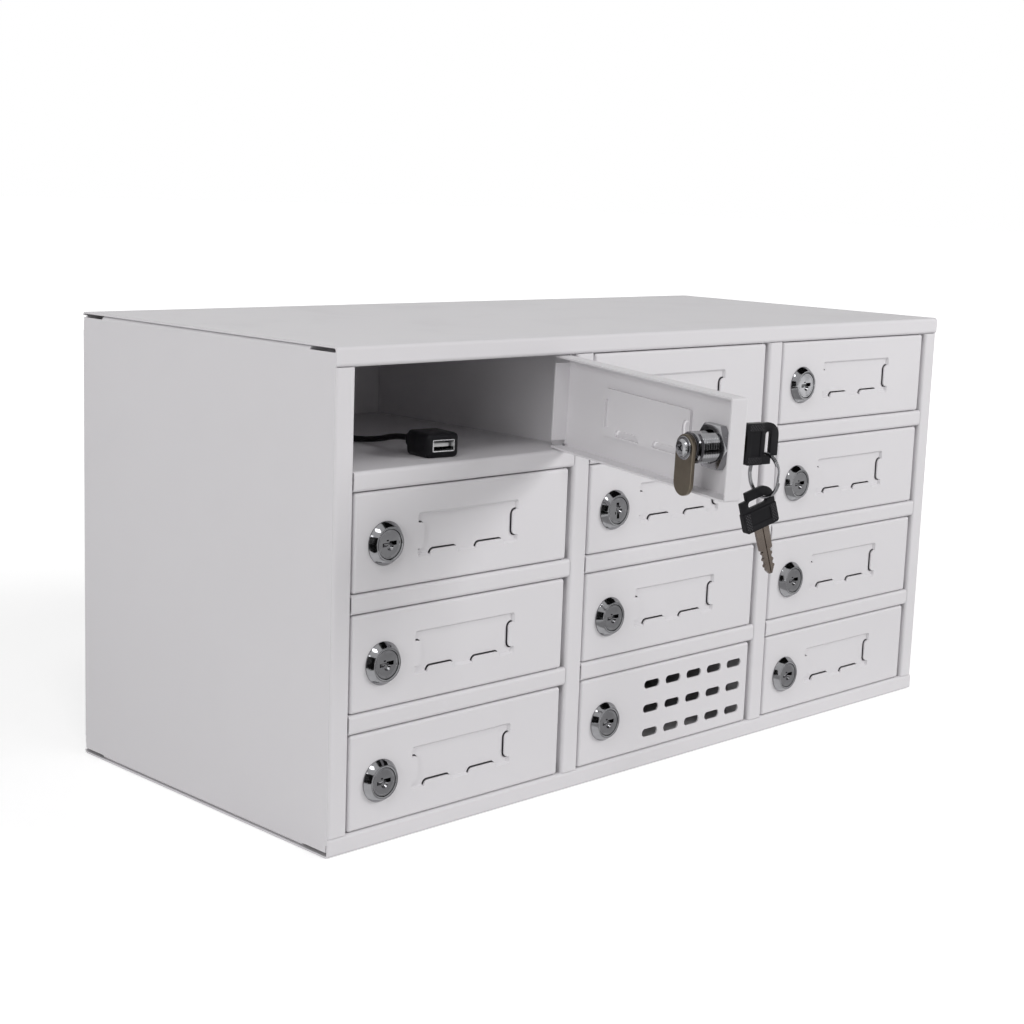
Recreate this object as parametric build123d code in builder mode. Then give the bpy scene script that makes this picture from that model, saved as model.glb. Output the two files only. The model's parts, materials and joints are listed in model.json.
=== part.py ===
from build123d import *
import math
import os

# A locker box for phones: a sheet-steel cabinet with a grid of small doors, each with
# its own cam lock, and a charging lead in its compartment.
# Millimetres. The origin is the centre of the underside: X right, Y to the back, Z up.

# Front grid
columns = 3
rows = 4
opening_width = 152.0
opening_height = 50.0
post_width = 12.0
divider_width = 12.5
rail_height = 10.0

# Cabinet
cabinet_depth = 220.0
compartment_depth = 167.0
sheet = 1.0
fold_radius = 2.0
return_depth = 17.0
flange_width = 15.0
seam = 0.3
relief_length = 20.0
relief_height = 2.0
corner_slit_height = 6.7
corner_slit_width = 0.6

# Rear cover and its screws
cover_sheet = 1.5
cover_margin = 2.0
cover_corner_radius = 4.0
wall_hole_spacing_x = 400.0
wall_hole_spacing_z = 150.0
wall_hole_radius = 3.0
screw_radius = 1.5
screw_head_radius = 2.8
screw_head_height = 1.3
screw_length = 8.0
screw_fit = 0.1
screw_inset = 7.0

# Doors
door_depth = 10.0
door_recess = 0.2
door_fold_radius = 1.6
door_corner_radius = 1.2
lock_side_gap = 1.0
hinge_side_gap = 3.6
door_gap = 0.5

# Hinge pins
pin_radius = 0.7
pin_fit = 0.05
pin_seat_fit = 0.03
pin_edge = 1.6
pin_set_back = 2.35
pin_reach = 1.0
pin_head = 0.8
hinge_relief = 3.0

# The open door stands at this angle and its free end hangs down by this angle
open_door = (1, 1)
open_angle = 77.5
open_sag = 2.08

# Label holder pressed into each door
label_width = 69.5
label_height = 22.5
label_from_edge = 41.0
label_from_bottom = 13.5
label_depth = 1.5
label_slope = 40.0
tab_rise = 3.0
tab_radius = 2.4
tab_slit = 0.7
bottom_tabs = ((8.7, 18.3), (40.0, 19.0))
side_tab_reach = 4.0
side_tab_height = 13.1
side_tab_from_bottom = 4.2

# Vent slots of the charger's door
vented_door = (4, 2)
vent_length = 13.3
vent_width = 4.8
vent_pitch_x = 18.6
vent_pitch_z = 14.3
vent_columns = 5
vent_rows = 3
vent_first_x = 59.3
vent_first_z = 9.5

# Cam locks
lock_from_edge = 19.7
lock_from_bottom = 23.0
bezel_radius = 11.0
bezel_rim = 0.7
bezel_top_radius = 8.65
bezel_height = 3.8
barrel_radius = 8.0
barrel_flats = 14.0
barrel_length = 17.0
barrel_fit = 0.1
nut_flats = 21.0
nut_thickness = 4.5
plug_radius = 5.8
plug_disc_radius = 7.5
plug_disc_depth = 2.2
plug_sunk = 0.5
plug_fit = 0.05
collar_radius = 7.0
collar_length = 1.4
collar_gap = 0.1
tenon_side = 6.0
tenon_fit = 0.05
cam_thickness = 2.0
cam_width = 13.0
cam_reach = 22.8
cam_screw_radius = 2.0
cam_screw_head_radius = 4.3
cam_screw_head_height = 2.6
cam_screw_length = 5.0
recess_width = 1.2
recess_length = 5.0
recess_depth = 1.6
keyway_length = 8.4
keyway_width = 2.2
keyway_depth = 18.0
upright_keyways = ((1, 1), (2, 2))

# Keys, stood off from the door by the part of the blade that shows
key_stand_off = 15.5
key_head_length = 19.9
key_head_width = 20.3
key_head_thickness = 3.6
key_far_end_thickness = 2.2
key_thick_length = 10.0
key_head_arc = 6.5
key_head_corner = 1.5
key_head_edge = 0.5
key_notch = 4.0
key_slot_length = 11.8
key_slot_width = 3.5
key_slot_from_end = 6.4
key_panel_length = 5.5
key_panel_width = 12.0
key_panel_from_end = 3.0
key_panel_depth = 0.3
blade_thickness = 1.8
blade_width = 8.4
blade_shoulder_width = 7.4
blade_neck = 11.5
blade_length = 24.5
blade_root = 6.0
bitted_width = 4.4
tooth_height = 0.8
tooth_pitch = 3.3
tooth_count = 3
upper_tooth_start = 0.35
lower_tooth_start = 0.1
tooth_profile = ((0.1, 0), (0.3, 1), (0.55, 1), (0.8, 0))
groove_width = 1.0
groove_depth = 0.4
ring_radius = 10.75
ring_wire_width = 1.8
ring_wire_height = 1.2
ring_seat_gap = 0.45
key_2_seat = 1.15
key_2_offset = 4.3
key_2_tilt = 17.3

# Charging lead
cord_radius = 1.6
grommet_from_edge = 24.0
grommet_rise = 10.0
grommet_flange_radius = 7.0
grommet_neck_radius = 5.0
grommet_flange = 2.0
grommet_fit = 0.15
socket_width = 19.5
socket_height = 12.6
socket_block_length = 18.0
socket_taper_length = 5.0
socket_neck_width = 9.0
socket_neck_height = 7.0
socket_neck_length = 6.0
socket_edge = 2.2
socket_from_post = 67.6
socket_set_back = 11.4
socket_turn = 7.4
shell_width = 13.4
shell_height = 6.2
shell_wall = 0.35
shell_depth = 12.0
tongue_width = 10.5
tongue_height = 1.9
tongue_depth = 9.0

# Bends of the lead: x from the cabinet's left, y from its front, z from its underside
lead_over_shelf = (
    (82.5, 68, 192),
    (73, 85, 191.8),
    (57, 105, 191.9),
    (43, 127, 194.8),
)
lead_down_back = (
    (62, 199, 170),
    (84, 203, 136),
    (112, 204.5, 101),
    (144, 203, 69),
    (176, 198, 42),
)
grommet_straight = 18.0
neck_straight = 12.0

# Charger behind the vented door, and the mains inlet at the back
hub_width = 113.0
hub_depth = 80.0
hub_height = 26.0
hub_edge = 3.0
hub_from_front = 66.0
gland_radius = 3.0
gland_length = 6.0
gland_count = 11
gland_pitch = 10.4
inlet_width = 28.0
inlet_height = 20.0
inlet_wall = 2.0
inlet_depth = 18.0
inlet_flange = 3.0
inlet_flange_sheet = 1.2
inlet_from_right = 100.0
inlet_from_bottom = 45.0
inlet_pin_pitch = 7.0
inlet_pin_radius = 1.6
inlet_fit = 0.2

# Worked out from the sizes above
cabinet_width = 2 * post_width + columns * opening_width + (columns - 1) * divider_width
cabinet_height = rows * opening_height + (rows + 1) * rail_height
left_x = -cabinet_width / 2
front_y = -cabinet_depth / 2
back_y = cabinet_depth / 2
flange_y = back_y - cover_sheet
panel_y = front_y + compartment_depth
pitch_x = opening_width + divider_width
pitch_z = opening_height + rail_height
door_width = opening_width - lock_side_gap - hinge_side_gap
door_height = opening_height - 2 * door_gap
cam_front = barrel_length + collar_gap + collar_length
tail_end = cam_front + cam_thickness
up = Vector(0, 0, 1)

os.makedirs("parts", exist_ok=True)


def write(piece, name):
    piece.label = name
    export_step(piece, f"parts/{name}.step")


def opening_left(col):
    return left_x + post_width + (col - 1) * pitch_x


def opening_bottom(row):
    return rail_height + (rows - row) * pitch_z


def folded(path, gauge=sheet, radius=fold_radius):
    # Section of a folded sheet. The path follows its outer face, with the metal on
    # the left, and every fold has the given radius on its outside.
    outer = [Vector(*point) for point in path]
    runs = [(b - a).normalized() for a, b in zip(outer, outer[1:])]
    inner = []
    outer_radii = []
    inner_radii = []
    for i, point in enumerate(outer):
        before = runs[max(i - 1, 0)]
        after = runs[min(i, len(runs) - 1)]
        across = Vector(-before.Y - after.Y, before.X + after.X)
        inner.append(point + across * (gauge / (1 + before.dot(after))))
        at_end = i in (0, len(outer) - 1)
        outer_radii.append(0 if at_end else radius)
        inner_radii.append(0 if at_end else radius - gauge)
    with BuildSketch() as section:
        with BuildLine():
            FilletPolyline(
                *outer,
                *reversed(inner),
                radius=outer_radii + inner_radii[::-1],
                close=True,
            )
        make_face()
    return section.sketch


def side_on(plane):
    # Plane through a turned piece's axis: x is the radius and y runs along the axis.
    return Plane(origin=plane.origin, x_dir=plane.x_dir, z_dir=-plane.y_dir)


def block(low, high, mode=Mode.ADD):
    # Box between two corners, added to or cut out of the part being built.
    size = Vector(*high) - Vector(*low)
    with Locations(low):
        Box(*size, align=(Align.MIN, Align.MIN, Align.MIN), mode=mode)


# ---- Hinge axes and the planes of the door faces ----


def hinge_in_door(row, col):
    # In the door's own coordinates: x towards the hinge, y up, z outwards.
    direction = Vector(0, 1, 0)
    if (row, col) == open_door:
        # Leans so that the door is level when shut and sags when it stands open.
        lean = Vector(0.5, 0, 0.5 / math.tan(math.radians(open_angle / 2)))
        direction = (direction + lean * math.tan(math.radians(open_sag))).normalized()
    return Axis((door_width - pin_edge, door_height / 2, -pin_set_back), direction)


def shut_face(row, col):
    # On the shut door's face, at its lower corner on the lock's side.
    x = opening_left(col) + lock_side_gap
    z = opening_bottom(row) + door_gap
    return Plane(origin=(x, front_y + door_recess, z), x_dir=(1, 0, 0), z_dir=(0, -1, 0))


def hinge_axis(row, col):
    shut = shut_face(row, col)
    hinge = hinge_in_door(row, col)
    foot = shut.from_local_coords(hinge.position)
    return Axis(foot, shut.from_local_coords(hinge.position + hinge.direction) - foot)


def door_face(row, col):
    # The shut face, swung about the hinge if this door stands open.
    shut = shut_face(row, col)
    if (row, col) != open_door:
        return shut
    hinge = hinge_axis(row, col)
    arm = shut.origin - hinge.position
    return Plane(
        origin=hinge.position + arm.rotate(hinge, open_angle),
        x_dir=shut.x_dir.rotate(hinge, open_angle),
        z_dir=shut.z_dir.rotate(hinge, open_angle),
    )


def pin_plane(hinge, end, distance):
    # Square to a hinge axis, at a distance from its middle; end is 1 above, -1 below.
    return Plane(
        origin=hinge.position + hinge.direction * end * distance,
        z_dir=hinge.direction * end,
    )


def pin_bore(row, col, end):
    # Cutter for a hinge pin's seat in the sheet above or below an opening.
    with BuildPart() as bore:
        with BuildSketch(pin_plane(hinge_axis(row, col), end, opening_height / 2 - sheet)):
            Circle(pin_radius + pin_seat_fit)
        extrude(amount=3 * sheet)
    return bore.part


# ---- Cabinet ----

top_inside = cabinet_height - sheet - seam
bottom_inside = sheet + seam
wall_front = front_y + sheet
relief_front = front_y + relief_length
relief_back = flange_y - relief_length

with BuildPart() as left_side:
    with BuildSketch(Plane.XY.offset(rail_height)):
        add(
            folded(
                [
                    (left_x + flange_width, flange_y),
                    (left_x, flange_y),
                    (left_x, front_y),
                    (left_x + post_width, front_y),
                    (left_x + post_width, front_y + return_depth),
                ]
            )
        )
    extrude(amount=cabinet_height - 2 * rail_height)
    # The rear flange stops short of the flanges of the top and bottom panels.
    for z in (rail_height, cabinet_height - flange_width - seam):
        block(
            (left_x + fold_radius, flange_y - sheet, z),
            (left_x + flange_width, flange_y, z + flange_width - rail_height + seam),
            mode=Mode.SUBTRACT,
        )
    # Wall between the corner reliefs, folded in under the top and over the bottom.
    with BuildSketch(Plane.XZ.offset(-relief_front)):
        add(
            folded(
                [
                    (left_x + flange_width, top_inside),
                    (left_x, top_inside),
                    (left_x, bottom_inside),
                    (left_x + flange_width, bottom_inside),
                ]
            )
        )
    extrude(amount=-(relief_back - relief_front))
    # Wall in front of and behind the reliefs, lower than the folded stretch.
    relief_top = cabinet_height - sheet - relief_height
    relief_bottom = sheet + relief_height
    for y_low, y_high in ((wall_front, relief_front), (relief_back, flange_y - fold_radius)):
        block((left_x, y_low, relief_bottom), (left_x + sheet, y_high, relief_top))
    # Slit at the foot of the front corner.
    block(
        (left_x, wall_front, relief_bottom),
        (left_x + sheet, wall_front + corner_slit_width, corner_slit_height),
        mode=Mode.SUBTRACT,
    )
write(left_side.part, "left_side")

with BuildPart() as right_side:
    mirror(left_side.part, about=Plane.YZ)
write(right_side.part, "right_side")

panel_flange_y = flange_y - sheet
cover_plane = Plane(origin=(0, flange_y, cabinet_height / 2), x_dir=(1, 0, 0), z_dir=(0, -1, 0))
screw_span_x = cabinet_width - 2 * screw_inset
screw_span_z = cabinet_height - 2 * screw_inset
screw_places = [
    (x * screw_span_x / 2, z * screw_span_z / 2)
    for x, z in ((-1, -1), (0, -1), (1, -1), (-1, 1), (0, 1), (1, 1))
]


def screw_bore(place):
    # Cutter for a rear screw's hole in the flange of the top or bottom panel.
    with BuildPart() as bore:
        with BuildSketch(cover_plane):
            with Locations(place):
                Circle(screw_radius + screw_fit)
        extrude(amount=3 * sheet)
    return bore.part


with BuildPart() as top_panel:
    with BuildSketch(Plane.YZ.offset(left_x)):
        add(
            folded(
                [
                    (panel_flange_y, cabinet_height - flange_width),
                    (panel_flange_y, cabinet_height),
                    (front_y, cabinet_height),
                    (front_y, cabinet_height - rail_height),
                    (front_y + return_depth, cabinet_height - rail_height),
                ]
            )
        )
    extrude(amount=cabinet_width)
    # The rail's fold and the rear flange fit between the side walls and their folds.
    for end in (left_x, -left_x):
        block(
            (end - sheet - seam, wall_front, cabinet_height - rail_height),
            (end + sheet + seam, front_y + return_depth, cabinet_height - rail_height + fold_radius),
            mode=Mode.SUBTRACT,
        )
        block(
            (end - fold_radius - seam, panel_flange_y - fold_radius, cabinet_height - flange_width),
            (end + fold_radius + seam, panel_flange_y, cabinet_height - fold_radius),
            mode=Mode.SUBTRACT,
        )
    for col in range(1, columns + 1):
        add(pin_bore(1, col, 1), mode=Mode.SUBTRACT)
    for place in screw_places:
        add(screw_bore(place), mode=Mode.SUBTRACT)
write(top_panel.part, "top_panel")

floor_back = panel_y - seam

with BuildPart() as bottom_panel:
    with BuildSketch(Plane.YZ.offset(left_x)):
        add(
            folded(
                [
                    (floor_back, rail_height),
                    (front_y, rail_height),
                    (front_y, 0),
                    (panel_flange_y, 0),
                    (panel_flange_y, flange_width),
                ]
            )
        )
    extrude(amount=cabinet_width)
    # The floor of the lowest compartments and the rear flange fit between the side
    # walls and their folds.
    for end in (left_x, -left_x):
        block(
            (end - sheet - seam, wall_front, rail_height - fold_radius),
            (end + sheet + seam, floor_back, rail_height),
            mode=Mode.SUBTRACT,
        )
        block(
            (end - fold_radius - seam, panel_flange_y - fold_radius, fold_radius),
            (end + fold_radius + seam, panel_flange_y, flange_width),
            mode=Mode.SUBTRACT,
        )
    for col in range(1, columns + 1):
        add(pin_bore(rows, col, -1), mode=Mode.SUBTRACT)
    for place in screw_places:
        add(screw_bore(place), mode=Mode.SUBTRACT)
write(bottom_panel.part, "bottom_panel")


def divider_left(number):
    return opening_left(number) + opening_width


def partition_x(number):
    return divider_left(number) + divider_width / 2


for number in range(1, columns):
    x = divider_left(number)
    with BuildPart() as divider:
        with BuildSketch(Plane.XY.offset(rail_height)):
            add(
                folded(
                    [
                        (x, front_y + return_depth),
                        (x, front_y),
                        (x + divider_width, front_y),
                        (x + divider_width, front_y + return_depth),
                    ]
                )
            )
        extrude(amount=cabinet_height - 2 * rail_height)
        # Partition welded to the back of the channel.
        block(
            (partition_x(number) - sheet / 2, wall_front, rail_height),
            (partition_x(number) + sheet / 2, floor_back, cabinet_height - rail_height),
        )
        block(
            (
                partition_x(number) - sheet / 2,
                front_y + return_depth + seam,
                cabinet_height - rail_height,
            ),
            (partition_x(number) + sheet / 2, floor_back, top_inside),
        )
    write(divider.part, f"divider_{number}")


def bay_left(col):
    # Inner face of what bounds a column of compartments on its left.
    return left_x + sheet if col == 1 else partition_x(col - 1) + sheet / 2


def bay_right(col):
    return -left_x - sheet if col == columns else partition_x(col) - sheet / 2


for row in range(1, rows):
    top = opening_bottom(row)
    with BuildPart() as shelves:
        for col in range(1, columns + 1):
            with BuildSketch(Plane.YZ.offset(opening_left(col) + seam)):
                add(
                    folded(
                        [
                            (floor_back, top),
                            (front_y, top),
                            (front_y, top - rail_height),
                            (front_y + return_depth, top - rail_height),
                        ]
                    )
                )
            extrude(amount=opening_width - 2 * seam)
            # Behind the folds of the frame the shelf widens to its bay.
            block(
                (bay_left(col) + seam, front_y + return_depth + seam, top - sheet),
                (bay_right(col) - seam, floor_back, top),
            )
            add(pin_bore(row, col, -1), mode=Mode.SUBTRACT)
            add(pin_bore(row + 1, col, 1), mode=Mode.SUBTRACT)
    write(shelves.part, f"shelves_row_{row}")


def grommet_centre(row, col):
    return Vector(
        opening_left(col) + grommet_from_edge, panel_y, opening_bottom(row) + grommet_rise
    )


compartments = [(row, col) for row in range(1, rows + 1) for col in range(1, columns + 1)]

with BuildPart() as rear_panel:
    block(
        (left_x + sheet + seam, panel_y, bottom_inside + sheet + seam),
        (-left_x - sheet - seam, panel_y + sheet, top_inside - sheet - seam),
    )
    for row, col in compartments:
        with BuildSketch(Plane(origin=grommet_centre(row, col), z_dir=(0, 1, 0))):
            Circle(grommet_neck_radius)
        extrude(amount=sheet, mode=Mode.SUBTRACT)
write(rear_panel.part, "rear_panel")

with BuildPart() as cable_grommets:
    for row, col in compartments:
        hole = Plane(origin=grommet_centre(row, col), z_dir=(0, 1, 0))
        for start, length, radius in (
            (-grommet_flange, grommet_flange, grommet_flange_radius),
            (0, sheet, grommet_neck_radius),
            (sheet, grommet_flange, grommet_flange_radius),
        ):
            with BuildSketch(hole.offset(start)):
                Circle(radius)
                Circle(cord_radius + grommet_fit, mode=Mode.SUBTRACT)
            extrude(amount=length)
write(cable_grommets.part, "cable_grommets")

inlet_place = (
    cabinet_width / 2 - inlet_from_right,
    inlet_from_bottom - cabinet_height / 2,
)

with BuildPart() as rear_cover:
    with BuildSketch(cover_plane):
        RectangleRounded(
            cabinet_width - 2 * cover_margin,
            cabinet_height - 2 * cover_margin,
            cover_corner_radius,
        )
        with GridLocations(wall_hole_spacing_x, wall_hole_spacing_z, 2, 2):
            Circle(wall_hole_radius, mode=Mode.SUBTRACT)
        with Locations(inlet_place):
            Rectangle(inlet_width + inlet_fit, inlet_height + inlet_fit, mode=Mode.SUBTRACT)
    extrude(amount=-cover_sheet)
    outside = cover_plane.offset(-cover_sheet)
    for place in screw_places:
        with BuildSketch(outside):
            with Locations(place):
                Circle(screw_head_radius + screw_fit)
        with BuildSketch(outside.offset(screw_head_height)):
            with Locations(place):
                Circle(screw_radius + screw_fit)
        loft(mode=Mode.SUBTRACT)
        with BuildSketch(outside):
            with Locations(place):
                Circle(screw_radius + screw_fit)
        extrude(amount=cover_sheet, mode=Mode.SUBTRACT)
write(rear_cover.part, "rear_cover")

with BuildPart() as rear_screws:
    for place in screw_places:
        with BuildSketch(outside):
            with Locations(place):
                Circle(screw_head_radius)
        with BuildSketch(outside.offset(screw_head_height)):
            with Locations(place):
                Circle(screw_radius)
        loft()
        with BuildSketch(outside.offset(screw_head_height)):
            with Locations(place):
                Circle(screw_radius)
        extrude(amount=screw_length - screw_head_height)
write(rear_screws.part, "rear_screws")

with BuildPart() as hinge_pins:
    for row, col in compartments:
        for end in (1, -1):
            tip = door_height / 2 - sheet - pin_reach
            with BuildSketch(pin_plane(hinge_axis(row, col), end, tip)):
                Circle(pin_radius)
            extrude(amount=opening_height / 2 + sheet + pin_head - tip)
write(hinge_pins.part, "hinge_pins")


# ---- Doors ----


def tab_outlines(margin):
    # The holder's tabs, each grown by a margin at its free edges.
    top = label_from_bottom + tab_rise + margin
    for start, length in bottom_tabs:
        low = label_from_edge + start - margin
        high = label_from_edge + start + length + margin
        with BuildSketch(mode=Mode.PRIVATE) as tab:
            with BuildLine():
                FilletPolyline(
                    (low, label_from_bottom),
                    (low, top),
                    (high, top),
                    (high, label_from_bottom),
                    radius=tab_radius + margin,
                )
                Line((high, label_from_bottom), (low, label_from_bottom))
            make_face()
        yield tab.sketch
    low = label_from_bottom + side_tab_from_bottom - margin
    high = low + side_tab_height + 2 * margin
    for root, way in ((label_from_edge, 1), (label_from_edge + label_width, -1)):
        tip = root + way * (side_tab_reach + margin)
        with BuildSketch(mode=Mode.PRIVATE) as tab:
            with BuildLine():
                FilletPolyline(
                    (root, low),
                    (tip, low),
                    (tip, high),
                    (root, high),
                    radius=tab_radius + margin,
                )
                Line((root, high), (root, low))
            make_face()
        yield tab.sketch


def make_door(row, col):
    # In the door's own coordinates, with its face in the XY plane.
    face = Plane.XY
    corner = (Align.MIN, Align.MIN)
    with BuildPart() as door:
        with BuildSketch(face):
            Rectangle(door_width, door_height, align=corner)
            fillet(vertices(), door_corner_radius)
        extrude(amount=-door_depth)
        fillet(faces().sort_by(Axis.Z)[-1].edges(), door_fold_radius)
        with BuildSketch(face.offset(-sheet)):
            with Locations((sheet, sheet)):
                Rectangle(door_width - 2 * sheet, door_height - 2 * sheet, align=corner)
        extrude(amount=-door_depth, mode=Mode.SUBTRACT)
        # Hole for the lock's flatted barrel.
        with BuildSketch(face):
            with Locations((lock_from_edge, lock_from_bottom)):
                Circle(barrel_radius + barrel_fit)
        extrude(amount=-sheet, mode=Mode.SUBTRACT)
        with BuildSketch(face):
            with Locations((lock_from_edge, lock_from_bottom)):
                with GridLocations(0, barrel_flats + 2 * barrel_fit + barrel_radius, 1, 2):
                    Rectangle(2 * barrel_radius, barrel_radius)
        extrude(amount=-sheet)
        if (row, col) == vented_door:
            with BuildSketch(face):
                with Locations((vent_first_x, vent_first_z)):
                    with GridLocations(
                        vent_pitch_x, vent_pitch_z, vent_columns, vent_rows, align=corner
                    ):
                        SlotOverall(vent_length, vent_width)
            extrude(amount=-sheet, mode=Mode.SUBTRACT)
        else:
            # Label holder: a pressed pocket, with tabs left standing at the door's face.
            with BuildSketch(face.offset(-sheet)):
                with Locations((label_from_edge - sheet, label_from_bottom - sheet)):
                    Rectangle(label_width + 2 * sheet, label_height + 2 * sheet, align=corner)
                fillet(vertices(), door_fold_radius)
            extrude(amount=-label_depth)
            with BuildSketch(face):
                with Locations((label_from_edge, label_from_bottom)):
                    Rectangle(label_width, label_height, align=corner)
                fillet(vertices(), door_fold_radius)
            extrude(amount=-label_depth, taper=label_slope, mode=Mode.SUBTRACT)
            with BuildSketch(face.offset(-sheet)):
                add(tab_outlines(tab_slit))
            extrude(amount=-2 * label_depth, mode=Mode.SUBTRACT)
            with BuildSketch(face):
                add(tab_outlines(0))
            extrude(amount=-sheet)
        # Bores for the hinge pins, and the side wall cut back around them.
        for end in (1, -1):
            bore = pin_plane(hinge_in_door(row, col), end, door_height / 2 - 2 * sheet)
            with BuildSketch(bore):
                Circle(pin_radius + pin_fit)
            extrude(amount=3 * sheet, mode=Mode.SUBTRACT)
        for low in (sheet, door_height - sheet - hinge_relief):
            with BuildSketch(face.offset(-door_fold_radius)):
                with Locations((door_width - sheet, low)):
                    Rectangle(sheet, hinge_relief, align=corner)
            extrude(amount=-door_depth, mode=Mode.SUBTRACT)
    return door.part


# ---- Locks, with their axis on the origin and the door's face in the XY plane ----


def turned(outline):
    # Solid of revolution about Z, from (radius, height) points.
    with BuildPart() as piece:
        with BuildSketch(Plane.XZ):
            with BuildLine():
                Polyline(*outline, close=True)
            make_face()
        revolve()
    return piece.part


def make_lock():
    disc_bore = plug_disc_radius + plug_fit
    plug_bore = plug_radius + plug_fit
    disc_seat = bezel_height - plug_sunk - plug_disc_depth
    with BuildPart() as lock:
        add(
            turned(
                [
                    (disc_bore, bezel_height),
                    (disc_bore, disc_seat),
                    (plug_bore, disc_seat),
                    (plug_bore, -barrel_length),
                    (barrel_radius, -barrel_length),
                    (barrel_radius, 0),
                    (bezel_radius, 0),
                    (bezel_radius, bezel_rim),
                    (bezel_top_radius, bezel_height),
                ]
            )
        )
        with BuildSketch():
            with GridLocations(0, barrel_flats + barrel_radius, 1, 2):
                Rectangle(2 * barrel_radius, barrel_radius)
        extrude(amount=-barrel_length, mode=Mode.SUBTRACT)
        # Hex nut against the inside of the door.
        with BuildSketch(Plane.XY.offset(-sheet)):
            RegularPolygon(nut_flats / 2, 6, major_radius=False, rotation=30)
            Circle(barrel_radius + barrel_fit, mode=Mode.SUBTRACT)
        extrude(amount=-nut_thickness)
    return lock.part


def make_cam(quarter):
    # The keyway is level or upright, and the cam plate hangs down.
    top = bezel_height - plug_sunk
    disc_seat = top - plug_disc_depth
    with BuildPart() as cam:
        add(
            turned(
                [
                    (0, top),
                    (plug_disc_radius, top),
                    (plug_disc_radius, disc_seat + plug_fit),
                    (plug_radius, disc_seat + plug_fit),
                    (plug_radius, -barrel_length - collar_gap),
                    (collar_radius, -barrel_length - collar_gap),
                    (collar_radius, -cam_front),
                    (0, -cam_front),
                ]
            )
        )
        with BuildSketch(Plane.XY.offset(-cam_front)):
            Rectangle(tenon_side, tenon_side)
        extrude(amount=-cam_thickness)
        with BuildSketch(Plane.XY.offset(top)):
            SlotOverall(keyway_length, keyway_width, rotation=quarter)
        extrude(amount=-keyway_depth, mode=Mode.SUBTRACT)
        with BuildSketch(Plane.XY.offset(-tail_end)):
            Circle(cam_screw_radius + plug_fit)
        extrude(amount=cam_screw_length + cam_screw_radius, mode=Mode.SUBTRACT)
        # Cam plate on the plug's square tenon.
        arm = cam_reach - cam_width / 2
        with BuildSketch(Plane.XY.offset(-cam_front)):
            with Locations((0, -arm / 2)):
                SlotCenterToCenter(arm, cam_width, rotation=90)
            side = tenon_side + 2 * tenon_fit
            Rectangle(side, side, mode=Mode.SUBTRACT)
        extrude(amount=-cam_thickness)
        add(make_cam_screw())
    return cam.part


def make_cam_screw():
    with BuildPart() as screw:
        with BuildSketch():
            Circle(cam_screw_head_radius)
        extrude(amount=-cam_screw_head_height)
        fillet(edges().group_by(Axis.Z)[0], cam_screw_head_height / 3)
        with BuildSketch(Plane.XY.offset(-cam_screw_head_height)):
            Rectangle(recess_width, recess_length)
            Rectangle(recess_length, recess_width)
        extrude(amount=recess_depth, mode=Mode.SUBTRACT)
        with BuildSketch():
            Circle(cam_screw_radius)
        extrude(amount=cam_screw_length)
    return Pos(0, 0, -tail_end) * screw.part


plain_door = make_door(0, 0)
lock = make_lock()
level_cam = make_cam(0)
upright_cam = make_cam(90)

for row, col in compartments:
    place = (row, col)
    face = door_face(row, col).location
    lock_seat = face * Pos(lock_from_edge, lock_from_bottom, 0)
    door = make_door(row, col) if place in (open_door, vented_door) else plain_door
    cam = upright_cam if place in upright_keyways else level_cam
    write(face * door, f"door_r{row}c{col}")
    write(lock_seat * lock, f"lock_r{row}c{col}")
    write(lock_seat * cam, f"cam_r{row}c{col}")


# ---- Keys on the open door ----


def bitting(side, start):
    # Toothed edge of the blade, towards the tip.
    half = bitted_width / 2
    points = []
    for number in range(tooth_count):
        for along, rise in tooth_profile:
            x = -blade_neck - tooth_pitch * (number + start + along)
            points.append((x, side * (half + rise * tooth_height)))
    return points


def key_blade(plane):
    # x runs back from the tip to the head's near edge, y is across, z is the thickness.
    half = bitted_width / 2
    upper = [(-blade_neck, blade_shoulder_width / 2), (-blade_neck - key_head_edge, half)]
    upper += bitting(1, upper_tooth_start)
    upper += [(half - blade_length, half), (-blade_length, half / 3)]
    lower = [(-blade_neck, -blade_shoulder_width / 2), (-blade_neck - key_head_edge, -half)]
    lower += bitting(-1, lower_tooth_start)
    lower += [(half - blade_length, -half), (-blade_length, -half / 3)]
    with BuildPart() as blade:
        with BuildSketch(plane.offset(-blade_thickness / 2)):
            with BuildLine():
                Polyline(
                    (blade_root, -blade_width / 2),
                    (blade_root, blade_width / 2),
                    *upper,
                    *reversed(lower),
                    close=True,
                )
            make_face()
        extrude(amount=blade_thickness)
        for way in (1, -1):
            with BuildSketch(plane.offset(way * blade_thickness / 2)):
                with Locations((-blade_length, 0)):
                    Rectangle(blade_length, groove_width, align=(Align.MIN, Align.CENTER))
            extrude(amount=-way * groove_depth, mode=Mode.SUBTRACT)
    return blade.part


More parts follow.
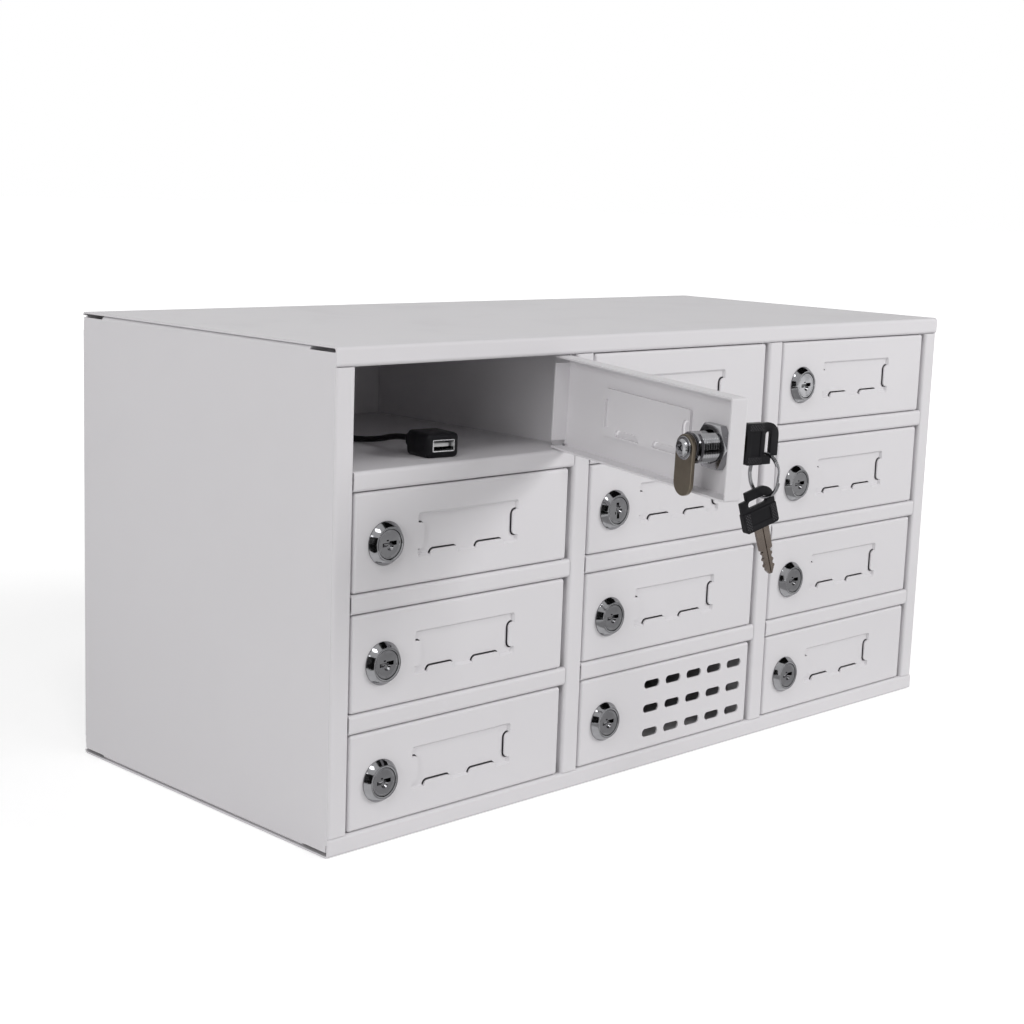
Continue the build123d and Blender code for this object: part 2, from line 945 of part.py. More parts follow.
def key_head(plane):
    # x runs from the blade's side to the far end.
    half = key_head_width / 2
    with BuildPart() as head:
        with BuildSketch(plane.offset(-key_head_thickness / 2)):
            with BuildLine():
                FilletPolyline(
                    (0, -half),
                    (key_head_length - key_notch, -half),
                    (key_head_length - key_notch, key_notch - half),
                    (key_head_length, key_notch - half),
                    (key_head_length, half),
                    (0, half),
                    radius=[
                        key_head_corner,
                        key_head_edge,
                        key_head_edge,
                        key_head_edge,
                        key_head_arc,
                        key_head_corner,
                    ],
                    close=True,
                )
            make_face()
        extrude(amount=key_head_thickness)
        thickness = Axis(plane.origin, plane.z_dir)
        chamfer(faces().sort_by(thickness)[0].edges(), key_head_edge)
        chamfer(faces().sort_by(thickness)[-1].edges(), key_head_edge)
        # The far end, round the slot, is thinner than the end that holds the blade.
        for way in (1, -1):
            with BuildSketch(plane.offset(way * key_head_thickness / 2)):
                with Locations((key_thick_length, 0)):
                    Rectangle(key_head_length, key_head_width, align=(Align.MIN, Align.CENTER))
            extrude(
                amount=way * (key_far_end_thickness - key_head_thickness) / 2, mode=Mode.SUBTRACT
            )
        with BuildSketch(plane.offset(-key_head_thickness / 2)):
            with Locations((key_head_length - key_slot_from_end, 0)):
                SlotOverall(key_slot_length, key_slot_width, rotation=90)
        extrude(amount=key_head_thickness, mode=Mode.SUBTRACT)
        for way in (1, -1):
            with BuildSketch(plane.offset(way * key_head_thickness / 2)):
                with Locations((key_panel_from_end, 0)):
                    Rectangle(
                        key_panel_length, key_panel_width, align=(Align.MIN, Align.CENTER)
                    )
            extrude(amount=-way * key_panel_depth, mode=Mode.SUBTRACT)
        with BuildSketch(plane.offset(-blade_thickness / 2)):
            Rectangle(blade_root, blade_width, align=(Align.MIN, Align.CENTER))
        extrude(amount=blade_thickness, mode=Mode.SUBTRACT)
    return head.part


open_face = door_face(*open_door)
key_1 = Plane(
    origin=open_face.from_local_coords((lock_from_edge, lock_from_bottom, key_stand_off)),
    x_dir=open_face.z_dir,
    z_dir=-open_face.x_dir,
)
write(key_blade(key_1), "key_1_blade")
write(key_head(key_1), "key_1_head")

# The ring hangs in the slot of the first key, in a plane square to that key.
slot_x = key_head_length - key_slot_from_end
ring_top = key_1.from_local_coords(
    (slot_x, ring_wire_height / 2 + ring_seat_gap - key_slot_length / 2, 0)
)
ring_axis = Vector(key_1.x_dir.X, key_1.x_dir.Y, 0).normalized()
ring_plane = Plane(origin=ring_top - up * ring_radius, x_dir=up, z_dir=ring_axis)

with BuildPart() as split_ring:
    with BuildSketch(side_on(ring_plane)):
        with Locations((ring_radius, 0)):
            Rectangle(ring_wire_height, ring_wire_width)
            fillet(vertices(), ring_wire_height / 4)
    revolve(axis=Axis(ring_plane.origin, ring_plane.z_dir))
write(split_ring.part, "split_ring")

# The second key hangs from the ring with its other side out.
ring_bottom = ring_plane.origin - up * ring_radius
key_2_normal = up.cross(ring_axis)
key_2_up = up.rotate(Axis((0, 0, 0), key_2_normal), -key_2_tilt)
hung = Plane(origin=ring_bottom, x_dir=key_2_up, z_dir=key_2_normal)
key_2_drop = slot_x + key_slot_width / 2 - key_2_seat
key_2 = Plane(
    origin=hung.from_local_coords((-key_2_drop, -key_2_offset, 0)),
    x_dir=hung.x_dir,
    z_dir=hung.z_dir,
)
write(key_blade(key_2), "key_2_blade")
write(key_head(key_2), "key_2_head")


# ---- Charging lead ----

socket_front = Vector(
    opening_left(open_door[1]) + socket_from_post,
    front_y + socket_set_back,
    opening_bottom(open_door[0]) + socket_height / 2,
)
socket_back = Vector(0, 1, 0).rotate(Axis.Z, -socket_turn)
socket_plane = Plane(origin=socket_front, x_dir=socket_back.cross(up), z_dir=socket_back)

with BuildPart() as usb_socket:
    with BuildSketch(socket_plane):
        Rectangle(socket_width, socket_height)
    extrude(amount=socket_block_length)
    fillet(edges(), socket_edge)
    with BuildSketch(socket_plane.offset(socket_block_length - socket_edge)):
        Rectangle(socket_width - socket_edge, socket_height - socket_edge)
        fillet(vertices(), socket_edge)
    with BuildSketch(socket_plane.offset(socket_block_length + socket_taper_length)):
        Rectangle(socket_neck_width, socket_neck_height)
        fillet(vertices(), socket_edge)
    loft()
    with BuildSketch(socket_plane.offset(socket_block_length + socket_taper_length)):
        Rectangle(socket_neck_width, socket_neck_height)
        fillet(vertices(), socket_edge)
    extrude(amount=socket_neck_length)
    with BuildSketch(socket_plane):
        Rectangle(shell_width, shell_height)
    extrude(amount=shell_depth, mode=Mode.SUBTRACT)
write(usb_socket.part, "usb_socket")

with BuildPart() as usb_shell:
    with BuildSketch(socket_plane):
        Rectangle(shell_width, shell_height)
        offset(amount=-shell_wall, kind=Kind.INTERSECTION, mode=Mode.SUBTRACT)
    extrude(amount=shell_depth)
    with BuildSketch(socket_plane.offset(shell_depth - tongue_depth)):
        Rectangle(tongue_width, tongue_height)
    extrude(amount=tongue_depth)
write(usb_shell.part, "usb_shell")

# Charger on the floor behind the vented door; its first gland lines up with a grommet.
charger_grommet = grommet_centre(*vented_door)
hub_floor = opening_bottom(vented_door[0])
hub_x = charger_grommet.X + (gland_count - 1) * gland_pitch / 2
hub_back = front_y + hub_from_front + hub_depth

with BuildPart() as charging_hub:
    with BuildSketch(Plane.XY.offset(hub_floor)):
        with Locations((hub_x, hub_back - hub_depth / 2)):
            Rectangle(hub_width, hub_depth)
            fillet(vertices(), hub_edge)
    extrude(amount=hub_height)
    fillet(faces().sort_by(Axis.Z)[-1].edges(), hub_edge / 2)
    with BuildSketch(Plane.XZ.offset(-hub_back)):
        with Locations((hub_x, charger_grommet.Z)):
            with GridLocations(gland_pitch, 0, gland_count, 1):
                Circle(gland_radius)
    extrude(amount=-gland_length)
write(charging_hub.part, "charging_hub")

# The lead runs from the socket's neck over the shelf to the grommet, down the wiring
# space and through the charger's grommet to its gland.
neck_length = socket_block_length + socket_taper_length + socket_neck_length
neck_end = socket_plane.offset(neck_length).origin
neck_out = socket_plane.offset(neck_length + neck_straight).origin
open_grommet = grommet_centre(*open_door)
gland_end = Vector(charger_grommet.X, hub_back + gland_length, charger_grommet.Z)
corner = Vector(left_x, front_y, 0)
straight = Vector(0, grommet_straight, 0)
route = [neck_end, neck_out]
route += [corner + Vector(*point) for point in lead_over_shelf]
route += [open_grommet - straight, open_grommet + straight]
route += [corner + Vector(*point) for point in lead_down_back]
route += [charger_grommet + straight, gland_end]


def arc_radii(points):
    # Each arc is as large as its two runs allow.
    radii = []
    for before, point, after in zip(points, points[1:], points[2:]):
        shorter = min((point - before).length, (after - point).length)
        turn = math.radians((point - before).get_angle(after - point))
        radii.append(0.45 * shorter / math.tan(turn / 2))
    return radii


cord_radii = arc_radii(route)

with BuildPart() as usb_cord:
    with BuildLine() as cord_path:
        FilletPolyline(*route, radius=cord_radii)
    with BuildSketch(Plane(origin=cord_path.line @ 0, z_dir=cord_path.line % 0)):
        Circle(cord_radius)
    sweep()
write(usb_cord.part, "usb_cord")

cord_length = sum(edge.length for edge in cord_path.edges())
print("cord length", round(cord_length, 1), "smallest radius", round(min(cord_radii), 1))
print("cord radii", [round(radius, 1) for radius in cord_radii])
print("runs", [round((b - a).length, 1) for a, b in zip(route, route[1:])])
swept_volume = math.pi * cord_radius**2 * cord_length
print("volume over section times length", round(usb_cord.part.volume / swept_volume, 4))

with BuildPart() as mains_inlet:
    with BuildSketch(cover_plane.offset(-cover_sheet)):
        with Locations(inlet_place):
            Rectangle(inlet_width + 2 * inlet_flange, inlet_height + 2 * inlet_flange)
            fillet(vertices(), inlet_flange)
    extrude(amount=-inlet_flange_sheet)
    with BuildSketch(cover_plane.offset(-cover_sheet)):
        with Locations(inlet_place):
            Rectangle(inlet_width, inlet_height)
    extrude(amount=inlet_depth)
    with BuildSketch(cover_plane.offset(-cover_sheet - inlet_flange_sheet)):
        with Locations(inlet_place):
            Rectangle(inlet_width - 2 * inlet_wall, inlet_height - 2 * inlet_wall)
            chamfer(vertices().group_by(Axis.Y)[-1], inlet_wall)
    extrude(amount=inlet_depth, mode=Mode.SUBTRACT)
    with BuildSketch(cover_plane.offset(-cover_sheet - inlet_flange_sheet + inlet_depth)):
        with Locations(inlet_place):
            with GridLocations(inlet_pin_pitch, 0, 3, 1):
                Circle(inlet_pin_radius)
    extrude(amount=-inlet_depth / 2)
write(mains_inlet.part, "mains_inlet")
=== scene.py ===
import json
import math
import bpy
from mathutils import Matrix, Vector


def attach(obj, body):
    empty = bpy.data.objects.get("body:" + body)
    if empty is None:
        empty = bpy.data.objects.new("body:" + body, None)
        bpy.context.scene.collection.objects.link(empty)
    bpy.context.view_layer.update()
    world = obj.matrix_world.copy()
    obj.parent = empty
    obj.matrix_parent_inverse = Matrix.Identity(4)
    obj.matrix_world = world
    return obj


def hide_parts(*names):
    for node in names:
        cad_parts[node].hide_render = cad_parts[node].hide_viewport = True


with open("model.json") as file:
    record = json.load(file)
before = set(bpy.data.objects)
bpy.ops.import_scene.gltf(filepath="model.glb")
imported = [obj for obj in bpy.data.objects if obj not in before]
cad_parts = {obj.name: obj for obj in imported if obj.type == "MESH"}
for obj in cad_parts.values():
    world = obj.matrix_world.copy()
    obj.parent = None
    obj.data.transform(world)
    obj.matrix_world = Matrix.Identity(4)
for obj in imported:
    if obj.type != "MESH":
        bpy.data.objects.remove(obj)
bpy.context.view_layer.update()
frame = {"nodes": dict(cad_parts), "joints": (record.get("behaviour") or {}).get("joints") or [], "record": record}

print("frame loaded")

# ---- Camera ----

camera = {
    "place": (-0.79809, -0.77345, 0.32885),
    "turn": (79.80896, -2.04319, -44.65749),  # degrees
    "lens": 64.954,
}

eye = bpy.data.objects.new("camera", bpy.data.cameras.new("camera"))
eye.location = camera["place"]
eye.rotation_euler = [math.radians(angle) for angle in camera["turn"]]
eye.data.lens = camera["lens"]
eye.data.sensor_width = 36
eye.data.clip_start = 0.01
bpy.context.scene.collection.objects.link(eye)
bpy.context.scene.camera = eye

# ---- Charging lead, from the charger's gland through both grommets to the connector ----

lead = {
    "thickness": 0.0032,
    "length": 0.434,
    "route": [
        (-0.0520, 0.0420, 0.0200),
        (-0.0520, 0.0750, 0.0200),
        (-0.0765, 0.0880, 0.0420),
        (-0.1085, 0.0930, 0.0690),
        (-0.1405, 0.0945, 0.1010),
        (-0.1685, 0.0930, 0.1360),
        (-0.1905, 0.0890, 0.1700),
        (-0.2165, 0.0750, 0.2000),
        (-0.2165, 0.0390, 0.2000),
        (-0.2095, 0.0170, 0.1948),
        (-0.1955, -0.0050, 0.1919),
        (-0.1795, -0.0250, 0.1918),
        (-0.1700, -0.0420, 0.1920),
        (-0.16762, -0.05794, 0.1963),
        (-0.169165, -0.069842, 0.1963),
    ],
}


def nothingSelected():
    if bpy.context.object and bpy.context.object.mode != "OBJECT":
        bpy.ops.object.mode_set(mode="OBJECT")
    bpy.ops.object.select_all(action="DESELECT")


def makeLead():
    curve = bpy.data.curves.new("chargingLead", "CURVE")
    curve.dimensions = "3D"
    spline = curve.splines.new("NURBS")
    spline.points.add(len(lead["route"]) - 1)
    for point, place in zip(spline.points, lead["route"]):
        point.co = (*place, 1)
        point.radius = lead["thickness"] / 2  # the bevel below is for a radius of 1
    spline.order_u = 3
    spline.use_endpoint_u = True
    spline.resolution_u = 10
    curve.bevel_depth = 1
    curve.bevel_resolution = 5
    curve.use_fill_caps = True
    piece = bpy.data.objects.new("chargingLead", curve)
    bpy.context.scene.collection.objects.link(piece)
    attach(piece, "cabinet")
    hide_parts("usb_cord")
    return piece


chargingLead = makeLead()
print("camera and lead made")

# ---- Tools for modelling ----


def pickUp(piece):
    nothingSelected()
    bpy.context.view_layer.objects.active = piece
    piece.select_set(True)
    return piece


def startEditing(piece):
    pickUp(piece)
    bpy.ops.object.mode_set(mode="EDIT")
    bpy.ops.mesh.select_all(action="DESELECT")


def selectIn(piece, kind, wanted):
    # kind is "vertices", "edges" or "polygons"; wanted tests the middle of each one.
    bpy.ops.object.mode_set(mode="EDIT")
    bpy.ops.mesh.select_all(action="DESELECT")
    mode = {"vertices": "VERT", "edges": "EDGE", "polygons": "FACE"}[kind]
    bpy.ops.mesh.select_mode(type=mode)
    bpy.ops.object.mode_set(mode="OBJECT")
    mesh = piece.data
    for item in getattr(mesh, kind):
        if kind == "vertices":
            middle = item.co
        elif kind == "edges":
            middle = (mesh.vertices[item.vertices[0]].co + mesh.vertices[item.vertices[1]].co) / 2
        else:
            middle = item.center
        item.select = bool(wanted(middle, item))
    bpy.ops.object.mode_set(mode="EDIT")


def settle(piece, smoothAngle=32):
    # Place, turn and size go into the mesh, doubles are merged and faces point outwards.
    pickUp(piece)
    bpy.ops.object.transform_apply(location=True, rotation=True, scale=True)
    bpy.ops.object.mode_set(mode="EDIT")
    bpy.ops.mesh.select_all(action="SELECT")
    bpy.ops.mesh.remove_doubles(threshold=0.000002)
    bpy.ops.mesh.normals_make_consistent(inside=False)
    bpy.ops.object.mode_set(mode="OBJECT")
    bpy.ops.object.shade_smooth_by_angle(angle=math.radians(smoothAngle))
    return piece


def turnPiece(name, outline, sides=64, closed=False):
    # Lathe work: a ring is extruded and made wider or narrower along the outline.
    nothingSelected()
    radius, height = outline[0]
    bpy.ops.mesh.primitive_circle_add(
        vertices=sides, radius=radius, location=(0, 0, height), fill_type="NOTHING"
    )
    piece = bpy.context.object
    piece.name = name
    bpy.ops.object.mode_set(mode="EDIT")
    bpy.ops.mesh.select_mode(type="VERT")
    bpy.ops.mesh.select_all(action="SELECT")
    if not closed:
        bpy.ops.mesh.edge_face_add()
    for nextRadius, nextHeight in outline[1:] + (outline[:1] if closed else []):
        if closed:
            bpy.ops.mesh.extrude_edges_move()
        else:
            bpy.ops.mesh.extrude_region_move()
        bpy.ops.transform.translate(value=(0, 0, nextHeight - height))
        ratio = nextRadius / radius
        bpy.ops.transform.resize(value=(ratio, ratio, 1), center_override=(0, 0, nextHeight))
        radius, height = nextRadius, nextHeight
    bpy.ops.object.mode_set(mode="OBJECT")
    return settle(piece)


def slabPiece(name, size, low, thickness, corners=(), segments=10):
    # A plate: corners lists (x, y, radius) of the corners to be rounded.
    nothingSelected()
    bpy.ops.mesh.primitive_plane_add(size=1, location=(*low[:2], low[2]))
    piece = bpy.context.object
    piece.name = name
    piece.scale = (size[0], size[1], 1)
    bpy.ops.object.transform_apply(location=True, scale=True)
    roundCorners(piece, corners, segments)
    thicken(piece, thickness)
    return piece


def roundCorners(piece, corners, segments=10):
    for x, y, radius in corners:
        selectIn(
            piece, "vertices",
            lambda co, item: abs(co.x - x) < 0.00005 and abs(co.y - y) < 0.00005,
        )
        bpy.ops.mesh.bevel(
            offset_type="OFFSET", offset=radius, segments=segments, affect="VERTICES"
        )
        bpy.ops.object.mode_set(mode="OBJECT")


def thicken(piece, thickness):
    startEditing(piece)
    bpy.ops.mesh.select_all(action="SELECT")
    bpy.ops.mesh.extrude_region_move(TRANSFORM_OT_translate={"value": (0, 0, thickness)})
    bpy.ops.object.mode_set(mode="OBJECT")


def softenEdges(piece, width, segments=2, angle=40):
    bevel = piece.modifiers.new("softEdges", "BEVEL")
    bevel.width = width
    bevel.segments = segments
    bevel.limit_method = "ANGLE"
    bevel.angle_limit = math.radians(angle)
    pickUp(piece)
    bpy.ops.object.modifier_apply(modifier=bevel.name)


def cutWith(piece, cutter, operation="DIFFERENCE"):
    cut = piece.modifiers.new("cut", "BOOLEAN")
    cut.operation = operation
    cut.object = cutter
    cut.solver = "EXACT"
    pickUp(piece)
    bpy.ops.object.modifier_apply(modifier=cut.name)
    bpy.data.objects.remove(cutter)


def joinPieces(name, pieces):
    nothingSelected()
    for piece in pieces:
        piece.select_set(True)
    bpy.context.view_layer.objects.active = pieces[0]
    bpy.ops.object.join()
    pieces[0].name = name
    return pieces[0]


def keepOwnCoordinates(piece):
    # Patterns such as turning marks follow the piece's own axes after it is placed.
    own = piece.data.attributes.new("own", "FLOAT_VECTOR", "POINT")
    for vertex in piece.data.vertices:
        own.data[vertex.index].vector = vertex.co


def placedCopy(master, name, place, body, material, replaced=()):
    piece = master.copy()
    piece.data = master.data.copy()
    piece.name = name
    piece.data.name = name
    bpy.context.scene.collection.objects.link(piece)
    piece.data.transform(place)
    piece.data.materials.clear()
    piece.data.materials.append(material)
    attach(piece, body)
    if replaced:
        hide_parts(*replaced)
    return piece


# ---- Node groups shared by the finishes ----


def addNode(tree, kind, inputs=None, **settings):
    made = tree.nodes.new(kind)
    for key, value in settings.items():
        setattr(made, key, value)
    for key, value in (inputs or {}).items():
        if isinstance(value, bpy.types.NodeSocket):
            tree.links.new(value, made.inputs[key])
        else:
            made.inputs[key].default_value = value
    return made


def newGroup(name, inputs, outputs):
    group = bpy.data.node_groups.new(name, "ShaderNodeTree")
    for label, kind, value in inputs:
        socket = group.interface.new_socket(label, in_out="INPUT", socket_type=kind)
        if value is not None:
            socket.default_value = value
    for label, kind in outputs:
        group.interface.new_socket(label, in_out="OUTPUT", socket_type=kind)
    return group, group.nodes.new("NodeGroupInput"), group.nodes.new("NodeGroupOutput")


def spread(tree, value, low, high):
    return addNode(
        tree, "ShaderNodeMapRange", {"Value": value, "To Min": low, "To Max": high}
    ).outputs["Result"]


def makeSurfaceGrain():
    # Grain of a given size in metres, and a slow drift of tone over the piece.
    group, given, result = newGroup(
        "surfaceGrain",
        [
            ("Vector", "NodeSocketVector", None),
            ("Grain Size", "NodeSocketFloat", 0.001),
            ("Drift Size", "NodeSocketFloat", 0.1),
        ],
        [("Height", "NodeSocketFloat"), ("Drift", "NodeSocketFloat")],
    )
    perMetre = addNode(group, "ShaderNodeMath", {0: 1.0, 1: given.outputs["Grain Size"]}, operation="DIVIDE")
    perDrift = addNode(group, "ShaderNodeMath", {0: 1.0, 1: given.outputs["Drift Size"]}, operation="DIVIDE")
    grain = addNode(
        group, "ShaderNodeTexNoise",
        {"Vector": given.outputs["Vector"], "Scale": perMetre.outputs[0], "Detail": 2.0, "Roughness": 0.45},
    )
    drift = addNode(
        group, "ShaderNodeTexNoise",
        {"Vector": given.outputs["Vector"], "Scale": perDrift.outputs[0], "Detail": 3.0, "Roughness": 0.5},
    )
    group.links.new(grain.outputs["Fac"], result.inputs["Height"])
    group.links.new(drift.outputs["Fac"], result.inputs["Drift"])
    return group


def makeHandling():
    # Mask of smudges and fine rubbed marks, 0 where clean.
    group, given, result = newGroup(
        "handling",
        [("Vector", "NodeSocketVector", None), ("Size", "NodeSocketFloat", 0.01)],
        [("Mask", "NodeSocketFloat")],
    )
    per = addNode(group, "ShaderNodeMath", {0: 1.0, 1: given.outputs["Size"]}, operation="DIVIDE")
    smudge = addNode(
        group, "ShaderNodeTexNoise",
        {"Vector": given.outputs["Vector"], "Scale": per.outputs[0], "Detail": 5.0, "Roughness": 0.62, "Distortion": 0.6},
    )
    mask = addNode(
        group, "ShaderNodeMapRange",
        {"Value": smudge.outputs["Fac"], "From Min": 0.5, "From Max": 0.72},
    )
    group.links.new(mask.outputs["Result"], result.inputs["Mask"])
    return group


def makeTurningMarks():
    # Fine rings about the piece's own Z axis, as a lathe leaves them.
    group, given, result = newGroup(
        "turningMarks",
        [("Vector", "NodeSocketVector", None), ("Pitch", "NodeSocketFloat", 0.0004)],
        [("Height", "NodeSocketFloat")],
    )
    flat = addNode(group, "ShaderNodeVectorMath", {0: given.outputs["Vector"], 1: (1, 1, 0)}, operation="MULTIPLY")
    reach = addNode(group, "ShaderNodeVectorMath", {0: flat.outputs["Vector"]}, operation="LENGTH")
    turns = addNode(group, "ShaderNodeMath", {0: reach.outputs["Value"], 1: given.outputs["Pitch"]}, operation="DIVIDE")
    noise = addNode(group, "ShaderNodeTexNoise", {"W": turns.outputs[0], "Scale": 1.0, "Detail": 3.0}, noise_dimensions="1D")
    group.links.new(noise.outputs["Fac"], result.inputs["Height"])
    return group


def makeBrushing():
    # Straight brushed lines along the vector's Y.
    group, given, result = newGroup(
        "brushing",
        [("Vector", "NodeSocketVector", None), ("Pitch", "NodeSocketFloat", 0.0003)],
        [("Height", "NodeSocketFloat")],
    )
    per = addNode(group, "ShaderNodeMath", {0: 1.0, 1: given.outputs["Pitch"]}, operation="DIVIDE")
    narrow = addNode(group, "ShaderNodeVectorMath", {0: given.outputs["Vector"], 1: (1, 0.03, 1)}, operation="MULTIPLY")
    lines = addNode(
        group, "ShaderNodeTexNoise",
        {"Vector": narrow.outputs["Vector"], "Scale": per.outputs[0], "Detail": 3.0},
    )
    group.links.new(lines.outputs["Fac"], result.inputs["Height"])
    return group


surfaceGrain = makeSurfaceGrain()
handling = makeHandling()
turningMarks = makeTurningMarks()
brushing = makeBrushing()


def useGroup(tree, group, inputs):
    made = addNode(tree, "ShaderNodeGroup", node_tree=group)
    for key, value in inputs.items():
        if isinstance(value, bpy.types.NodeSocket):
            tree.links.new(value, made.inputs[key])
        else:
            made.inputs[key].default_value = value
    return made


# ---- Finishes ----

finishes = {
    "powderCoat": {
        "colour": (0.70, 0.685, 0.705), "shade": (0.665, 0.65, 0.668), "roughness": (0.46, 0.56),
        "grain": 0.0011, "drift": 0.16, "bump": 0.05, "depth": 0.00012, "metal": 0.0,
        "smudge": 0.05, "gloss": 0.4,
    },
    "blackPlastic": {
        "colour": (0.007, 0.007, 0.0085), "shade": (0.011, 0.0105, 0.0125), "roughness": (0.34, 0.5),
        "grain": 0.00035, "drift": 0.01, "bump": 0.12, "depth": 0.00008, "metal": 0.0,
        "smudge": 0.006, "gloss": 0.13,
    },
    "blackRubber": {
        "colour": (0.008, 0.008, 0.009), "shade": (0.013, 0.013, 0.014), "roughness": (0.45, 0.6),
        "grain": 0.0005, "drift": 0.02, "bump": 0.15, "depth": 0.00008, "metal": 0.0,
        "smudge": 0.01, "gloss": 0.25,
    },
    "chrome": {
        "colour": (0.32, 0.32, 0.33), "shade": (0.20, 0.20, 0.21), "roughness": (0.09, 0.2),
        "grain": 0.0006, "drift": 0.006, "bump": 0.06, "depth": 0.00004, "metal": 1.0,
        "smudge": 0.004, "gloss": 0.5, "turned": 0.00045,
    },
    "zincSteel": {
        "colour": (0.40, 0.40, 0.41), "shade": (0.27, 0.27, 0.285), "roughness": (0.18, 0.34),
        "grain": 0.0005, "drift": 0.01, "bump": 0.06, "depth": 0.00004, "metal": 1.0,
        "smudge": 0.004, "gloss": 0.5,
    },
    "camSteel": {
        "colour": (0.22, 0.19, 0.15), "shade": (0.15, 0.127, 0.098), "roughness": (0.3, 0.45),
        "grain": 0.0005, "drift": 0.008, "bump": 0.1, "depth": 0.00005, "metal": 1.0,
        "smudge": 0.004, "gloss": 0.5, "brushed": 0.00025,
    },
    "keySteel": {
        "colour": (0.24, 0.205, 0.18), "shade": (0.14, 0.115, 0.10), "roughness": (0.24, 0.38),
        "grain": 0.0004, "drift": 0.005, "bump": 0.08, "depth": 0.00004, "metal": 1.0,
        "smudge": 0.003, "gloss": 0.5,
    },
    "shellSteel": {
        "colour": (0.80, 0.80, 0.81), "shade": (0.68, 0.68, 0.70), "roughness": (0.22, 0.32),
        "grain": 0.0004, "drift": 0.006, "bump": 0.04, "depth": 0.00003, "metal": 1.0,
        "smudge": 0.003, "gloss": 0.5,
    },
    "whitePlastic": {
        "colour": (0.80, 0.80, 0.79), "shade": (0.74, 0.74, 0.73), "roughness": (0.35, 0.45),
        "grain": 0.0004, "drift": 0.006, "bump": 0.03, "depth": 0.00003, "metal": 0.0,
        "smudge": 0.004, "gloss": 0.5,
    },
}
# The last colour of hatch is a painted highlight: the ridges of the key grips are painted lighter, as if lit.
hatch = {"scale": 290.0, "strength": 0.95, "depth": 0.0005, "paintedRidgeHighlight": (0.085, 0.083, 0.09)}


def makeFinish(name, ownAxes=False, hatched=False):
    look = finishes[name]
    finish = bpy.data.materials.new(name + ("Hatched" if hatched else "Own" if ownAxes else ""))
    finish.use_nodes = True
    tree = finish.node_tree
    shader = tree.nodes["Principled BSDF"]
    if ownAxes:
        where = addNode(tree, "ShaderNodeAttribute", attribute_name="own").outputs["Vector"]
    else:
        where = addNode(tree, "ShaderNodeTexCoord").outputs["Object"]
    grain = useGroup(
        tree, surfaceGrain,
        {"Vector": where, "Grain Size": look["grain"], "Drift Size": look["drift"]},
    )
    marks = useGroup(tree, handling, {"Vector": where, "Size": look["smudge"]})
    tone = addNode(
        tree, "ShaderNodeMix",
        {"Factor": grain.outputs["Drift"], 6: (*look["colour"], 1), 7: (*look["shade"], 1)},
        data_type="RGBA",
    )
    tree.links.new(tone.outputs[2], shader.inputs["Base Color"])
    low, high = look["roughness"]
    tree.links.new(spread(tree, marks.outputs["Mask"], low, high), shader.inputs["Roughness"])
    shader.inputs["Metallic"].default_value = look["metal"]
    shader.inputs["Specular IOR Level"].default_value = look["gloss"]
    height = grain.outputs["Height"]
    if ownAxes and look.get("turned"):
        height = useGroup(tree, turningMarks, {"Vector": where, "Pitch": look["turned"]}).outputs["Height"]
    if ownAxes and look.get("brushed"):
        height = useGroup(tree, brushing, {"Vector": where, "Pitch": look["brushed"]}).outputs["Height"]
    strength, depth = look["bump"], look["depth"]
    if hatched:
        height = hatchHeight(tree, where)
        strength, depth = hatch["strength"], hatch["depth"]
        # Painted highlight: the hatch ridges are mixed towards a lighter colour, as if lit.
        ridgeHighlight = addNode(
            tree, "ShaderNodeMix", {"Factor": height, 6: tone.outputs[2], 7: (*hatch["paintedRidgeHighlight"], 1)},
            data_type="RGBA",
        )
        tree.links.new(ridgeHighlight.outputs[2], shader.inputs["Base Color"])
    bump = addNode(
        tree, "ShaderNodeBump", {"Height": height, "Strength": strength, "Distance": depth}
    )
    tree.links.new(bump.outputs["Normal"], shader.inputs["Normal"])
    return finish


def hatchHeight(tree, where):
    # Crossed ridges at 45 degrees, for the grips of the key heads.
    waves = []
    for turn in (45, -45):
        turned = addNode(tree, "ShaderNodeMapping", {"Vector": where, "Rotation": (0, 0, math.radians(turn))})
        waves.append(
            addNode(
                tree, "ShaderNodeTexWave", {"Vector": turned.outputs["Vector"], "Scale": hatch["scale"]},
                wave_profile="TRI",
            ).outputs["Fac"]
        )
    return addNode(tree, "ShaderNodeMath", {0: waves[0], 1: waves[1]}, operation="MULTIPLY").outputs[0]


powderCoat = makeFinish("powderCoat")
blackPlastic = makeFinish("blackPlastic")
blackRubber = makeFinish("blackRubber")
zincSteel = makeFinish("zincSteel")
keySteel = makeFinish("keySteel")
whitePlastic = makeFinish("whitePlastic")
lockChrome = makeFinish("chrome", ownAxes=True)
lockZinc = makeFinish("zincSteel", ownAxes=True)
camSteel = makeFinish("camSteel", ownAxes=True)
headPlastic = makeFinish("blackPlastic", ownAxes=True)
gripPlastic = makeFinish("blackPlastic", ownAxes=True, hatched=True)
shellSteel = makeFinish("shellSteel")

finishOfSlot = {
    "powder_coat": powderCoat,
    "black_plastic": blackPlastic,
    "black_rubber": blackRubber,
    "zinc_steel": zincSteel,
    "key_steel": keySteel,
}
for subpart in frame["record"]["subparts"]:
    piece = frame["nodes"][subpart["node"]]
    finish = finishOfSlot.get(subpart["material_slot"])
    if finish:
        for place in piece.material_slots:
            place.material = finish
chargingLead.data.materials.append(blackRubber)
print("finishes made")

# ---- Places taken from the frame ----

joints = {joint["name"]: joint for joint in frame["joints"]}
rows, columns = 4, 3
openDoor = "r1c1"
openAngle = 77.5
camFront = 0.0185  # from the door's face to the cam plate


def doorTurn(tag):
    # Columns are the door's own axes: along to the hinge, up, and out.
    shut = Matrix(((1, 0, 0), (0, 0, -1), (0, 1, 0)))
    if tag != openDoor:
        return shut
    hinge = Vector(joints["door_hinge_" + tag]["axis"])
    return Matrix.Rotation(math.radians(openAngle), 3, hinge) @ shut


